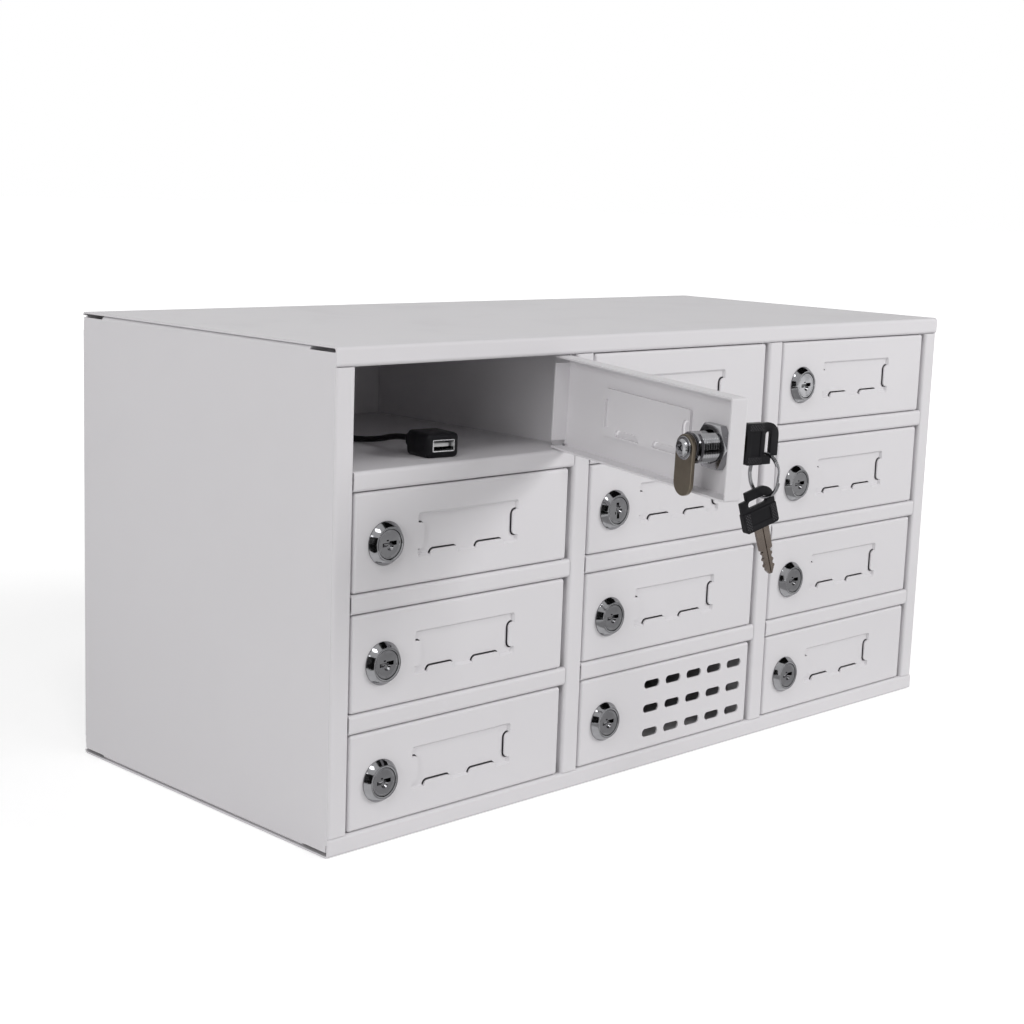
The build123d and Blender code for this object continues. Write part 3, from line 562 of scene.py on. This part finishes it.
def lockPlace(tag):
    turn = doorTurn(tag)
    foot = Vector(joints["cam_turn_" + tag]["pos_m"])
    return Matrix.Translation(foot + turn @ Vector((0, 0, camFront))) @ turn.to_4x4()


tags = [f"r{row}c{column}" for row in range(1, rows + 1) for column in range(1, columns + 1)]

# ---- Locks: the axis on Z, the door's face in the XY plane, Z outwards ----

lock = {
    "bezelRadius": 0.011,
    "bezelRim": 0.0007,
    "bezelTop": 0.00865,
    "bezelHeight": 0.0038,
    "discRadius": 0.0075,
    "discSunk": 0.0005,
    "discDepth": 0.0022,
    "plugRadius": 0.0058,
    "barrelRadius": 0.008,
    "barrelFlats": 0.014,
    "barrelLength": 0.017,
    "threadPitch": 0.0014,
    "threadDepth": 0.0006,
    "plainEnd": 0.0022,
    "nutFlats": 0.021,
    "nutThickness": 0.0045,
    "sheet": 0.001,
    "gap": 0.00006,
}


def makeHousing():
    # Bezel with a bright rim, and the threaded barrel behind the door.
    top = lock["bezelHeight"]
    bore = lock["discRadius"] + lock["gap"]
    plugBore = lock["plugRadius"] + lock["gap"]
    seat = top - lock["discSunk"] - lock["discDepth"]
    rim = lock["bezelRim"]
    base = lock["bezelRadius"]
    barrel = lock["barrelRadius"]
    end = -lock["barrelLength"]
    outline = [(base, 0.0), (base, rim * 0.8), (base - 0.0001, rim)]
    outline += [(lock["bezelTop"] + 0.00025, top - 0.0002), (lock["bezelTop"], top - 0.00002)]
    outline += [(lock["bezelTop"] - 0.00035, top), (bore + 0.0003, top - 0.00006)]
    outline += [(bore, top - 0.0003), (bore, seat), (plugBore, seat), (plugBore, end)]
    outline += [(barrel - 0.0006, end), (barrel, end + 0.0006)]
    height = end + lock["plainEnd"]
    outline += [(barrel, height)]
    start = -lock["sheet"] - lock["nutThickness"]
    while height < start:
        outline += [(barrel - lock["threadDepth"], height + lock["threadPitch"] * 0.5)]
        outline += [(barrel, height + lock["threadPitch"])]
        height += lock["threadPitch"]
    outline += [(barrel, 0.0)]
    piece = turnPiece("lockHousing", outline, sides=72, closed=True)
    for side in (1, -1):
        nothingSelected()
        bpy.ops.mesh.primitive_cube_add(
            size=1,
            location=(0, side * (lock["barrelFlats"] / 2 + 0.005), end / 2 - 0.0003),
            scale=(0.03, 0.01, lock["barrelLength"] + 0.0002),
        )
        cutWith(piece, bpy.context.object)
    settle(piece)
    keepOwnCoordinates(piece)
    return piece


def makeNut():
    # Hexagon with chamfered corners on both faces.
    across = lock["nutFlats"]
    thick = lock["nutThickness"]
    nothingSelected()
    bpy.ops.mesh.primitive_circle_add(
        vertices=6, radius=across / math.sqrt(3), fill_type="NGON",
        location=(0, 0, -lock["sheet"] - thick), rotation=(0, 0, math.radians(30)),
    )
    piece = bpy.context.object
    piece.name = "lockNut"
    thicken(piece, thick)
    settle(piece)
    low = -lock["sheet"] - thick
    corner = across / math.sqrt(3)
    domed = turnPiece(
        "nutDome",
        [
            (across / 2 * 0.97, low - 0.00001), (corner + 0.0002, low + 0.0009),
            (corner + 0.0002, low + thick - 0.0006), (across / 2, low + thick + 0.00001),
        ],
    )
    cutWith(piece, domed, "INTERSECT")
    bore = turnPiece(
        "nutBore",
        [(lock["barrelRadius"] + 0.0001, low - 0.001), (lock["barrelRadius"] + 0.0001, low + thick + 0.001)],
    )
    cutWith(piece, bore)
    settle(piece, 25)
    keepOwnCoordinates(piece)
    return piece


def makePlug(quarter):
    # Disc with a shallow ring, stepped keyway and a bright dust shutter, then the core.
    top = lock["bezelHeight"] - lock["discSunk"]
    disc = lock["discRadius"]
    low = top - lock["discDepth"]
    core = lock["plugRadius"]
    end = -lock["barrelLength"] - 0.0001
    outline = [
        (0.0062, top - 0.00012), (0.0064, top), (disc - 0.00035, top), (disc, top - 0.00035),
        (disc, low + lock["gap"]), (core, low + lock["gap"]), (core, end), (0.007, end),
        (0.007, end - 0.0005), (0.0063, end - 0.0006), (0.0063, end - 0.0008),
        (0.007, end - 0.0009), (0.007, -camFront),
    ]
    piece = turnPiece("lockPlug", outline[::-1] + [(0.0061, top - 0.00012)], sides=64)
    turn = math.radians(quarter)
    cuts = [
        ((0.0022, 0.0004), (0.0045, 0.0021), 0.016),
        ((-0.0022, -0.0002), (0.0045, 0.0019), 0.016),
        ((0, 0.0001), (0.0026, 0.0014), 0.016),
        ((-0.0013, 0.0019), (0.0014, 0.0007), 0.0012),
    ]
    for (x, y), (wide, high), deep in cuts:
        nothingSelected()
        place = Matrix.Rotation(turn, 3, "Z") @ Vector((x, y, top - deep / 2 + 0.0005))
        bpy.ops.mesh.primitive_cube_add(
            size=1, location=place, rotation=(0, 0, turn), scale=(wide, high, deep + 0.001)
        )
        cutWith(piece, bpy.context.object)
    for (x, y), wide, narrow, deep in (((0.0004, -0.0012), 0.0023, 0.0012, 0.0014),):
        place = Matrix.Rotation(turn, 3, "Z") @ Vector((x, y, 0))
        dish = turnPiece("dish", [(narrow, top - deep), (wide, top + 0.0002)], sides=32)
        dish.data.transform(Matrix.Translation(place))
        cutWith(piece, dish)
    settle(piece, 30)
    # Shutter set back in the keyway.
    nothingSelected()
    place = Matrix.Rotation(turn, 3, "Z") @ Vector((0.0002, -0.0007, top - 0.0019))
    bpy.ops.mesh.primitive_cube_add(
        size=1, location=place, rotation=(math.radians(18), 0, turn), scale=(0.0056, 0.0019, 0.0006)
    )
    shutter = bpy.context.object
    softenEdges(shutter, 0.0001)
    settle(shutter)
    piece = joinPieces("lockPlug", [piece, shutter])
    keepOwnCoordinates(piece)
    return piece


cam = {
    "thickness": 0.002,
    "width": 0.013,
    "reach": 0.0228,
    "screwHead": 0.0043,
    "screwHeight": 0.0026,
    "crossLong": 0.005,
    "crossWide": 0.0012,
    "crossDepth": 0.0016,
    "washer": 0.0056,
}


def makeCamPlate():
    half = cam["width"] / 2
    long = cam["reach"] + half
    middle = (0, half - long / 2, -camFront - cam["thickness"])
    corners = [(x, y, half * 0.999) for x in (-half, half) for y in (half, half - long)]
    piece = slabPiece("camPlate", (cam["width"], long), middle, cam["thickness"], corners, 14)
    settle(piece)
    softenEdges(piece, 0.00028)
    settle(piece)
    keepOwnCoordinates(piece)
    return piece


def makeCamScrew():
    back = -camFront - cam["thickness"]
    head = cam["screwHead"]
    tip = back - cam["screwHeight"]
    piece = turnPiece(
        "camScrew",
        [
            (cam["washer"], back), (cam["washer"], back - 0.0005), (cam["washer"] - 0.0002, back - 0.0007),
            (head, back - 0.0007), (head, back - 0.0013), (head - 0.0005, tip + 0.0005),
            (head - 0.0013, tip + 0.0001), (head - 0.0024, tip),
        ],
        sides=48,
    )
    for size in ((cam["crossLong"], cam["crossWide"]), (cam["crossWide"], cam["crossLong"])):
        nothingSelected()
        bpy.ops.mesh.primitive_cube_add(
            size=1, location=(0, 0, tip + cam["crossDepth"] / 2 - 0.0005),
            scale=(*size, cam["crossDepth"] + 0.001), rotation=(0, 0, 0),
        )
        cutter = bpy.context.object
        selectIn(cutter, "vertices", lambda co, item: co.z > 0)
        bpy.ops.transform.resize(value=(0.45, 0.45, 1), center_override=(0, 0, tip))
        bpy.ops.object.mode_set(mode="OBJECT")
        cutWith(piece, cutter)
    piece.data.transform(Matrix.Rotation(math.radians(35), 4, "Z"))
    settle(piece, 28)
    keepOwnCoordinates(piece)
    return piece


housingMaster = makeHousing()
nutMaster = makeNut()
plugMaster = makePlug(0)
uprightPlugMaster = makePlug(90)
camPlateMaster = makeCamPlate()
camScrewMaster = makeCamScrew()
masters = [housingMaster, nutMaster, plugMaster, uprightPlugMaster, camPlateMaster, camScrewMaster]
print("lock pieces modelled")

for tag in tags:
    place = lockPlace(tag)
    doorBody = "door_body_" + tag
    camBody = "cam_body_" + tag
    plug = uprightPlugMaster if tag in ("r1c1", "r2c2") else plugMaster
    placedCopy(housingMaster, "lock_housing_" + tag, place, doorBody, lockChrome, ["lock_" + tag])
    placedCopy(nutMaster, "lock_nut_" + tag, place, doorBody, lockZinc)
    placedCopy(plug, "lock_plug_" + tag, place, camBody, lockChrome, ["cam_" + tag])
    placedCopy(camPlateMaster, "cam_plate_" + tag, place, camBody, camSteel)
    placedCopy(camScrewMaster, "cam_screw_" + tag, place, camBody, lockZinc)
for master in masters:
    bpy.data.objects.remove(master)
print("locks placed")

# ---- Keys ----

key = {
    "standOff": 0.0155,
    "length": 0.0199,
    "width": 0.0203,
    "thickness": 0.0036,
    "thickLength": 0.010,  # from the blade's side, as far as the head is thick
    "farThickness": 0.0022,
    "arc": 0.0065,
    "corner": 0.0015,
    "notch": 0.004,
    "slotLength": 0.0118,
    "slotWidth": 0.0035,
    "slotFromEnd": 0.0064,
    "edge": 0.0005,
    "panel": (0.0055, 0.0120),
    "panelFrom": 0.003,
    "panelDepth": 0.0003,
    "grip": (0.0088, 0.0034, 0.00022),
    "gripMiddle": (0.0054, 0.0080),
}
blade = {"width": 0.0084, "thickness": 0.0018, "root": 0.006}


def makeKeyHead():
    # x from the blade's side to the far end, y across, z through the thickness.
    long, half = key["length"], key["width"] / 2
    nothingSelected()
    bpy.ops.mesh.primitive_plane_add(size=1, location=(long / 2, 0, -key["thickness"] / 2))
    piece = bpy.context.object
    piece.name = "keyHead"
    piece.scale = (long, key["width"], 1)
    bpy.ops.object.transform_apply(location=True, scale=True)
    stepX, stepY = long - key["notch"], key["notch"] - half
    startEditing(piece)
    for place, normal in (((stepX, 0, 0), (1, 0, 0)), ((0, stepY, 0), (0, 1, 0))):
        bpy.ops.mesh.select_all(action="SELECT")
        bpy.ops.mesh.bisect(plane_co=place, plane_no=normal)
    bpy.ops.object.mode_set(mode="OBJECT")
    selectIn(piece, "polygons", lambda co, item: co.x > stepX and co.y < stepY)
    bpy.ops.mesh.delete(type="FACE")
    bpy.ops.mesh.select_all(action="SELECT")
    bpy.ops.mesh.dissolve_limited(angle_limit=0.01)
    bpy.ops.object.mode_set(mode="OBJECT")
    roundCorners(
        piece,
        [
            (long, half, key["arc"]), (0, half, key["corner"]), (0, -half, key["corner"]),
            (stepX, -half, key["edge"]), (long, stepY, key["edge"]),
        ],
        8,
    )
    thicken(piece, key["thickness"])
    settle(piece)
    slot = slabPiece(
        "slotCutter", (key["slotWidth"], key["slotLength"]),
        (long - key["slotFromEnd"], 0, -key["thickness"]), 2 * key["thickness"],
        [
            (long - key["slotFromEnd"] + x * key["slotWidth"] / 2, y * key["slotLength"] / 2, key["slotWidth"] * 0.499)
            for x in (-1, 1) for y in (-1, 1)
        ],
    )
    settle(slot)
    cutWith(piece, slot)
    wide, high = key["panel"]
    for side in (1, -1):
        low = side * (key["thickness"] / 2 - key["panelDepth"]) - (0 if side > 0 else 0.002)
        panel = slabPiece("panelCutter", (wide, high), (key["panelFrom"] + wide / 2, 0, low), 0.002)
        settle(panel)
        cutWith(piece, panel)
        nothingSelected()
        bpy.ops.mesh.primitive_cube_add(
            size=1, location=(key["thickLength"] + 0.01, 0, side * (key["farThickness"] / 2 + 0.002)),
            scale=(0.02, 0.03, 0.004),
        )
        cutWith(piece, bpy.context.object)
    nothingSelected()
    bpy.ops.mesh.primitive_cube_add(
        size=1, location=(blade["root"] / 2 - 0.001, 0, 0),
        scale=(blade["root"] + 0.002, blade["width"] + 0.00004, blade["thickness"] + 0.00004),
    )
    cutWith(piece, bpy.context.object)
    softenEdges(piece, 0.00028, 2, 60)
    settle(piece, 30)
    keepOwnCoordinates(piece)
    return piece


def makeKeyGrips():
    # Four low pads with crossed ridges, two on each side of the head.
    pads = []
    long, across, proud = key["grip"]
    x, y = key["gripMiddle"]
    for side in (1, -1):
        for way in (1, -1):
            middle = (x, way * y, side * key["thickness"] / 2 - (0 if side > 0 else proud))
            pad = slabPiece("keyGrip", (long, across), middle, proud)
            selectIn(pad, "vertices", lambda co, item: co.z * side > key["thickness"] / 2 + 0.0001)
            bpy.ops.transform.resize(value=(0.93, 0.86, 1), center_override=middle)
            bpy.ops.object.mode_set(mode="OBJECT")
            pads.append(settle(pad))
    piece = joinPieces("keyGrips", pads)
    keepOwnCoordinates(piece)
    return piece


def keyPlaces():
    # Key 1 stands in the open door's lock; key 2 hangs from the ring, other side out.
    place = lockPlace(openDoor)
    turn = place.to_3x3()
    out, along = turn.col[2], turn.col[0]
    upright = Matrix((out, turn.col[1], -along)).transposed()
    first = Matrix.Translation(place @ Vector((0, 0, key["standOff"]))) @ upright.to_4x4()
    second = joints["key_2_swing"]
    hangs = Vector(second["pos_m"])
    normal = Vector(second["axis"]).normalized()
    lifted = Matrix.Rotation(math.radians(-ring["tilt"]), 3, normal) @ Vector((0, 0, 1))
    across = normal.cross(lifted)
    turned = Matrix((lifted, across, normal)).transposed()
    drop = key["length"] - key["slotFromEnd"] + key["slotWidth"] / 2 - ring["seat"]
    origin = hangs + turned @ Vector((-drop, -ring["offset"], 0))
    return first, Matrix.Translation(origin) @ turned.to_4x4()


ring = {
    "radius": 0.01075,
    "wireWide": 0.0009,
    "wireHigh": 0.0012,
    "turns": 1.88,
    "start": 60,  # degrees from the top to the wire's first end
    "tilt": 17.3,
    "seat": 0.00115,
    "offset": 0.0043,
}


def makeSplitRing():
    # Flat spring wire wound nearly twice round; in one place it steps across to the second turn.
    nothingSelected()
    bpy.ops.mesh.primitive_plane_add(
        size=1, location=(ring["radius"], 0, 0), rotation=(math.pi / 2, 0, 0)
    )
    piece = bpy.context.object
    piece.name = "splitRing"
    piece.scale = (ring["wireHigh"], ring["wireWide"] * 0.94, 1)
    bpy.ops.object.transform_apply(location=True, rotation=True, scale=True)
    startEditing(piece)
    bpy.ops.mesh.select_all(action="SELECT")
    bpy.ops.mesh.bevel(
        offset_type="OFFSET", offset=ring["wireWide"] * 0.25, segments=3, affect="VERTICES"
    )
    bpy.ops.object.mode_set(mode="OBJECT")
    around = len(piece.data.vertices)
    steps = 170
    startEditing(piece)
    bpy.ops.mesh.select_all(action="SELECT")
    bpy.ops.mesh.spin(
        steps=steps, angle=math.radians(360 * ring["turns"]), center=(0, 0, 0), axis=(0, 0, 1)
    )
    bpy.ops.object.mode_set(mode="OBJECT")
    for vertex in piece.data.vertices:
        turnsDone = (vertex.index // around) / steps * ring["turns"]
        across = min(max((turnsDone - 0.90) / 0.09, 0), 1)
        across = across * across * (3 - 2 * across)
        vertex.co.z += ring["wireWide"] * (across - 0.5)
    pickUp(piece)
    bpy.ops.object.mode_set(mode="EDIT")
    bpy.ops.mesh.select_all(action="SELECT")
    bpy.ops.mesh.normals_make_consistent(inside=False)
    bpy.ops.object.mode_set(mode="OBJECT")
    bpy.ops.object.shade_smooth_by_angle(angle=math.radians(35))
    piece.data.transform(Matrix.Rotation(math.radians(ring["start"]), 4, "Z"))
    keepOwnCoordinates(piece)
    return piece


def ringPlace():
    top = Vector(joints["ring_swing"]["pos_m"])
    bottom = Vector(joints["key_2_swing"]["pos_m"])
    out = lockPlace(openDoor).to_3x3().col[2].copy()
    out.z = 0
    out.normalize()
    up = Vector((0, 0, 1))
    turn = Matrix((up, out.cross(up), out)).transposed()
    return Matrix.Translation((top + bottom) / 2) @ turn.to_4x4()


headMaster = makeKeyHead()
gripMaster = makeKeyGrips()
for number, place in zip((1, 2), keyPlaces()):
    body = f"key_{number}"
    placedCopy(headMaster, f"key_head_{number}", place, body, headPlastic, [f"key_{number}_head"])
    placedCopy(gripMaster, f"key_grips_{number}", place, body, gripPlastic)
ringMaster = makeSplitRing()
placedCopy(ringMaster, "split_ring_wound", ringPlace(), "key_ring", lockZinc, ["split_ring"])
for master in (headMaster, gripMaster, ringMaster):
    bpy.data.objects.remove(master)
print("keys made")

# ---- Connector at the end of the lead: x across, y to the back, z up ----

connector = {
    "front": (-0.1729, -0.0986, 0.1963),
    "turn": -7.4,
    "wide": 0.0195,
    "high": 0.0126,
    "block": 0.018,
    "taper": 0.005,
    "neck": 0.006,
    "neckWide": 0.009,
    "neckHigh": 0.007,
    "edge": 0.0024,
    "mouthWide": 0.0134,
    "mouthHigh": 0.0062,
    "mouthDepth": 0.012,
    "shellWall": 0.0005,
    "tongueWide": 0.0105,
    "tongueHigh": 0.0019,
    "tongueDepth": 0.009,
    "contacts": 4,
    "contactPitch": 0.0023,
}
connectorPlace = Matrix.Translation(connector["front"]) @ Matrix.Rotation(
    math.radians(connector["turn"]), 4, "Z"
)


def makeOvermould():
    wide, high, block = connector["wide"], connector["high"], connector["block"]
    nothingSelected()
    bpy.ops.mesh.primitive_cube_add(size=1, location=(0, block / 2, 0), scale=(wide, block, high))
    piece = bpy.context.object
    piece.name = "connectorMould"
    bpy.ops.object.transform_apply(location=True, scale=True)
    selectIn(piece, "polygons", lambda co, item: co.y > block - 0.0001)
    end = block
    for forward, across, tall in (
        (connector["taper"] * 0.35, 0.90, 0.86),
        (connector["taper"] * 0.65, 0.62, 0.72),
        (connector["neck"], 0.83, 0.90),
    ):
        bpy.ops.mesh.extrude_region_move(TRANSFORM_OT_translate={"value": (0, forward, 0)})
        end += forward
        bpy.ops.transform.resize(value=(across, 1, tall), center_override=(0, end, 0))
    bpy.ops.object.mode_set(mode="OBJECT")
    rounded = piece.modifiers.new("rounded", "BEVEL")
    rounded.width = connector["edge"]
    rounded.segments = 5
    rounded.limit_method = "ANGLE"
    rounded.angle_limit = math.radians(50)
    pickUp(piece)
    bpy.ops.object.modifier_apply(modifier=rounded.name)
    settle(piece, 40)
    nothingSelected()
    bpy.ops.mesh.primitive_cube_add(
        size=1, location=(0, connector["mouthDepth"] / 2 - 0.0005, 0),
        scale=(connector["mouthWide"], connector["mouthDepth"] + 0.001, connector["mouthHigh"]),
    )
    cutWith(piece, bpy.context.object)
    # Grooves of the strain relief.
    for place in (0.30, 0.55, 0.80):
        y = block + connector["taper"] + connector["neck"] * place
        nothingSelected()
        bpy.ops.mesh.primitive_torus_add(
            major_radius=0.0053, minor_radius=0.0011, major_segments=28, minor_segments=10,
            location=(0, y, 0), rotation=(math.pi / 2, 0, 0),
        )
        cutter = bpy.context.object
        cutter.scale = (connector["neckWide"] / 0.0086, connector["neckHigh"] / 0.0086, 0.32)
        cutWith(piece, cutter)
    settle(piece, 40)
    return piece


def makeShell():
    # Folded steel sleeve, open at both ends, with rounded corners.
    wide, high, deep = connector["mouthWide"], connector["mouthHigh"], connector["mouthDepth"]
    nothingSelected()
    bpy.ops.mesh.primitive_cube_add(
        size=1, location=(0, deep / 2 - 0.00005, 0), scale=(wide - 0.0001, deep, high - 0.0001)
    )
    piece = bpy.context.object
    piece.name = "connectorShell"
    bpy.ops.object.transform_apply(location=True, scale=True)
    selectIn(piece, "polygons", lambda co, item: co.y < 0.001 or co.y > deep - 0.001)
    bpy.ops.mesh.delete(type="FACE")
    bpy.ops.mesh.select_mode(type="EDGE")
    bpy.ops.object.mode_set(mode="OBJECT")
    rounded = piece.modifiers.new("rounded", "BEVEL")
    rounded.width = 0.0006
    rounded.segments = 3
    wall = piece.modifiers.new("wall", "SOLIDIFY")
    wall.thickness = connector["shellWall"]
    wall.offset = -1
    pickUp(piece)
    bpy.ops.object.modifier_apply(modifier=rounded.name)
    bpy.ops.object.modifier_apply(modifier=wall.name)
    return settle(piece, 40)


def makeTongue():
    wide, high, deep = connector["tongueWide"], connector["tongueHigh"], connector["tongueDepth"]
    start = connector["mouthDepth"] - deep
    nothingSelected()
    bpy.ops.mesh.primitive_cube_add(size=1, location=(0, start + deep / 2, 0), scale=(wide, deep, high))
    piece = bpy.context.object
    piece.name = "connectorTongue"
    softenEdges(piece, 0.00025)
    return settle(piece)


def makeContacts():
    pads = []
    low = -connector["tongueHigh"] / 2 - 0.00008
    start = connector["mouthDepth"] - connector["tongueDepth"]
    for number in range(connector["contacts"]):
        x = (number - (connector["contacts"] - 1) / 2) * connector["contactPitch"]
        nothingSelected()
        bpy.ops.mesh.primitive_cube_add(
            size=1, location=(x, start + 0.0045, low), scale=(0.0011, 0.0075, 0.0002)
        )
        pad = bpy.context.object
        softenEdges(pad, 0.00005, 1)
        pads.append(settle(pad))
    return joinPieces("connectorContacts", pads)


for make, name, finish, replaced in (
    (makeOvermould, "connector_mould", blackPlastic, ["usb_socket"]),
    (makeShell, "connector_shell", shellSteel, ["usb_shell"]),
    (makeTongue, "connector_tongue", whitePlastic, []),
    (makeContacts, "connector_contacts", keySteel, []),
):
    master = make()
    placedCopy(master, name, connectorPlace, "cabinet", finish, replaced)
    bpy.data.objects.remove(master)
print("connector made")

# ---- Floor, light and background ----

studio = {
    "floorSize": 30,
    "floorColour": (0.80, 0.80, 0.80),
    "floorShade": (0.78, 0.78, 0.78),
    "glowNear": 0.50,  # added for the camera and in reflections, near the object and far out
    "glowFar": 0.85,
    "glowReach": (0.4, 1.8),
    "world": 0.36,
    "lamps": [
        # place, aim, size, power, and whether gloss shows it
        ((1.5, -1.9, 1.2), (0, 0, 0.1), 0.9, 34, False),
        ((-0.9, -1.0, 1.9), (0, 0, 0.1), 0.45, 6, True),
        ((-2.2, -0.6, 0.8), (0, 0, 0.1), 1.2, 16, True),
    ],
    # Painted dark reflections: boards seen only in gloss, dark ones and one mid-grey board on the floor.
    "flags": [
        # place, aim, width, height, grey
        ((-1.35, -0.68, 0.4), (0, 0, 0.35), 1.5, 0.8, 0.01),
        ((-0.98, -0.60, 0.001), (-0.98, -0.60, 1), 1.24, 0.8, 0.01),
        ((0.75, -0.15, 1.35), (0, 0, 0.15), 2.0, 1.3, 0.01),
        ((0.65, -0.88, 0.001), (0.65, -0.88, 1), 1.8, 1.44, 0.66),
    ],
}


def raysSeen(tree):
    # 1 for what the camera sees, straight, in metal or through something clear.
    rays = addNode(tree, "ShaderNodeLightPath").outputs
    seen = rays["Is Camera Ray"]
    for label in ("Is Glossy Ray", "Is Transmission Ray"):
        seen = addNode(tree, "ShaderNodeMath", {0: seen, 1: rays[label]}, operation="MAXIMUM").outputs[0]
    return seen


def makeFloor():
    nothingSelected()
    bpy.ops.mesh.primitive_plane_add(size=studio["floorSize"], location=(0, 0, -0.0002))
    floor = bpy.context.object
    floor.name = "floor"
    paper = bpy.data.materials.new("paper")
    paper.use_nodes = True
    tree = paper.node_tree
    shader = tree.nodes["Principled BSDF"]
    where = addNode(tree, "ShaderNodeTexCoord").outputs["Object"]
    grain = useGroup(tree, surfaceGrain, {"Vector": where, "Grain Size": 0.002, "Drift Size": 0.8})
    tone = addNode(
        tree, "ShaderNodeMix",
        {"Factor": grain.outputs["Drift"], 6: (*studio["floorColour"], 1), 7: (*studio["floorShade"], 1)},
        data_type="RGBA",
    )
    tree.links.new(tone.outputs[2], shader.inputs["Base Color"])
    shader.inputs["Roughness"].default_value = 0.9
    shader.inputs["Specular IOR Level"].default_value = 0.1
    # The camera sees the paper brighter, more so far out, where it meets the white background.
    away = addNode(tree, "ShaderNodeVectorMath", {0: where}, operation="LENGTH").outputs["Value"]
    near, far = studio["glowReach"]
    amount = addNode(
        tree, "ShaderNodeMapRange",
        {
            "Value": away, "From Min": near, "From Max": far,
            "To Min": studio["glowNear"], "To Max": studio["glowFar"],
        },
    ).outputs["Result"]
    glow = addNode(tree, "ShaderNodeMath", {0: raysSeen(tree), 1: amount}, operation="MULTIPLY")
    shader.inputs["Emission Color"].default_value = (1, 1, 1, 1)
    tree.links.new(glow.outputs[0], shader.inputs["Emission Strength"])
    floor.data.materials.append(paper)


def makeWorld():
    world = bpy.data.worlds.new("studio")
    world.use_nodes = True
    bpy.context.scene.world = world
    tree = world.node_tree
    back = tree.nodes["Background"]
    back.inputs["Color"].default_value = (1, 1, 1, 1)
    tree.links.new(spread(tree, raysSeen(tree), studio["world"], 1.0), back.inputs["Strength"])


def makeLamps():
    for number, (place, aim, size, power, shown) in enumerate(studio["lamps"]):
        lamp = bpy.data.lights.new(f"softbox{number}", "AREA")
        lamp.shape = "SQUARE"
        lamp.size = size
        lamp.energy = power
        softbox = bpy.data.objects.new(f"softbox{number}", lamp)
        softbox.location = place
        softbox.visible_glossy = shown
        softbox.rotation_euler = (Vector(place) - Vector(aim)).to_track_quat("Z", "Y").to_euler()
        bpy.context.scene.collection.objects.link(softbox)


def makeFlags():
    # Boards that only show in gloss: painted dark reflections, standing in for the dark of a studio round its lamps.
    for number, (place, aim, wide, high, grey) in enumerate(studio["flags"]):
        darkReflectionBoard = bpy.data.materials.new(f"board{number}")
        darkReflectionBoard.use_nodes = True
        shader = darkReflectionBoard.node_tree.nodes["Principled BSDF"]
        shader.inputs["Base Color"].default_value = (grey, grey, grey, 1)
        shader.inputs["Specular IOR Level"].default_value = 0
        nothingSelected()
        bpy.ops.mesh.primitive_plane_add(
            size=1, location=place,
            rotation=(Vector(place) - Vector(aim)).to_track_quat("Z", "Y").to_euler(),
            scale=(wide, high, 1),
        )
        flag = bpy.context.object
        flag.name = f"flag{number}"
        flag.scale = (wide, high, 1)
        flag.data.materials.append(darkReflectionBoard)
        flag.visible_camera = False
        flag.visible_diffuse = False
        flag.visible_shadow = False
        flag.visible_transmission = False


makeFloor()
makeWorld()
makeLamps()
makeFlags()
bpy.context.scene.view_settings.view_transform = "Standard"
print("studio made")
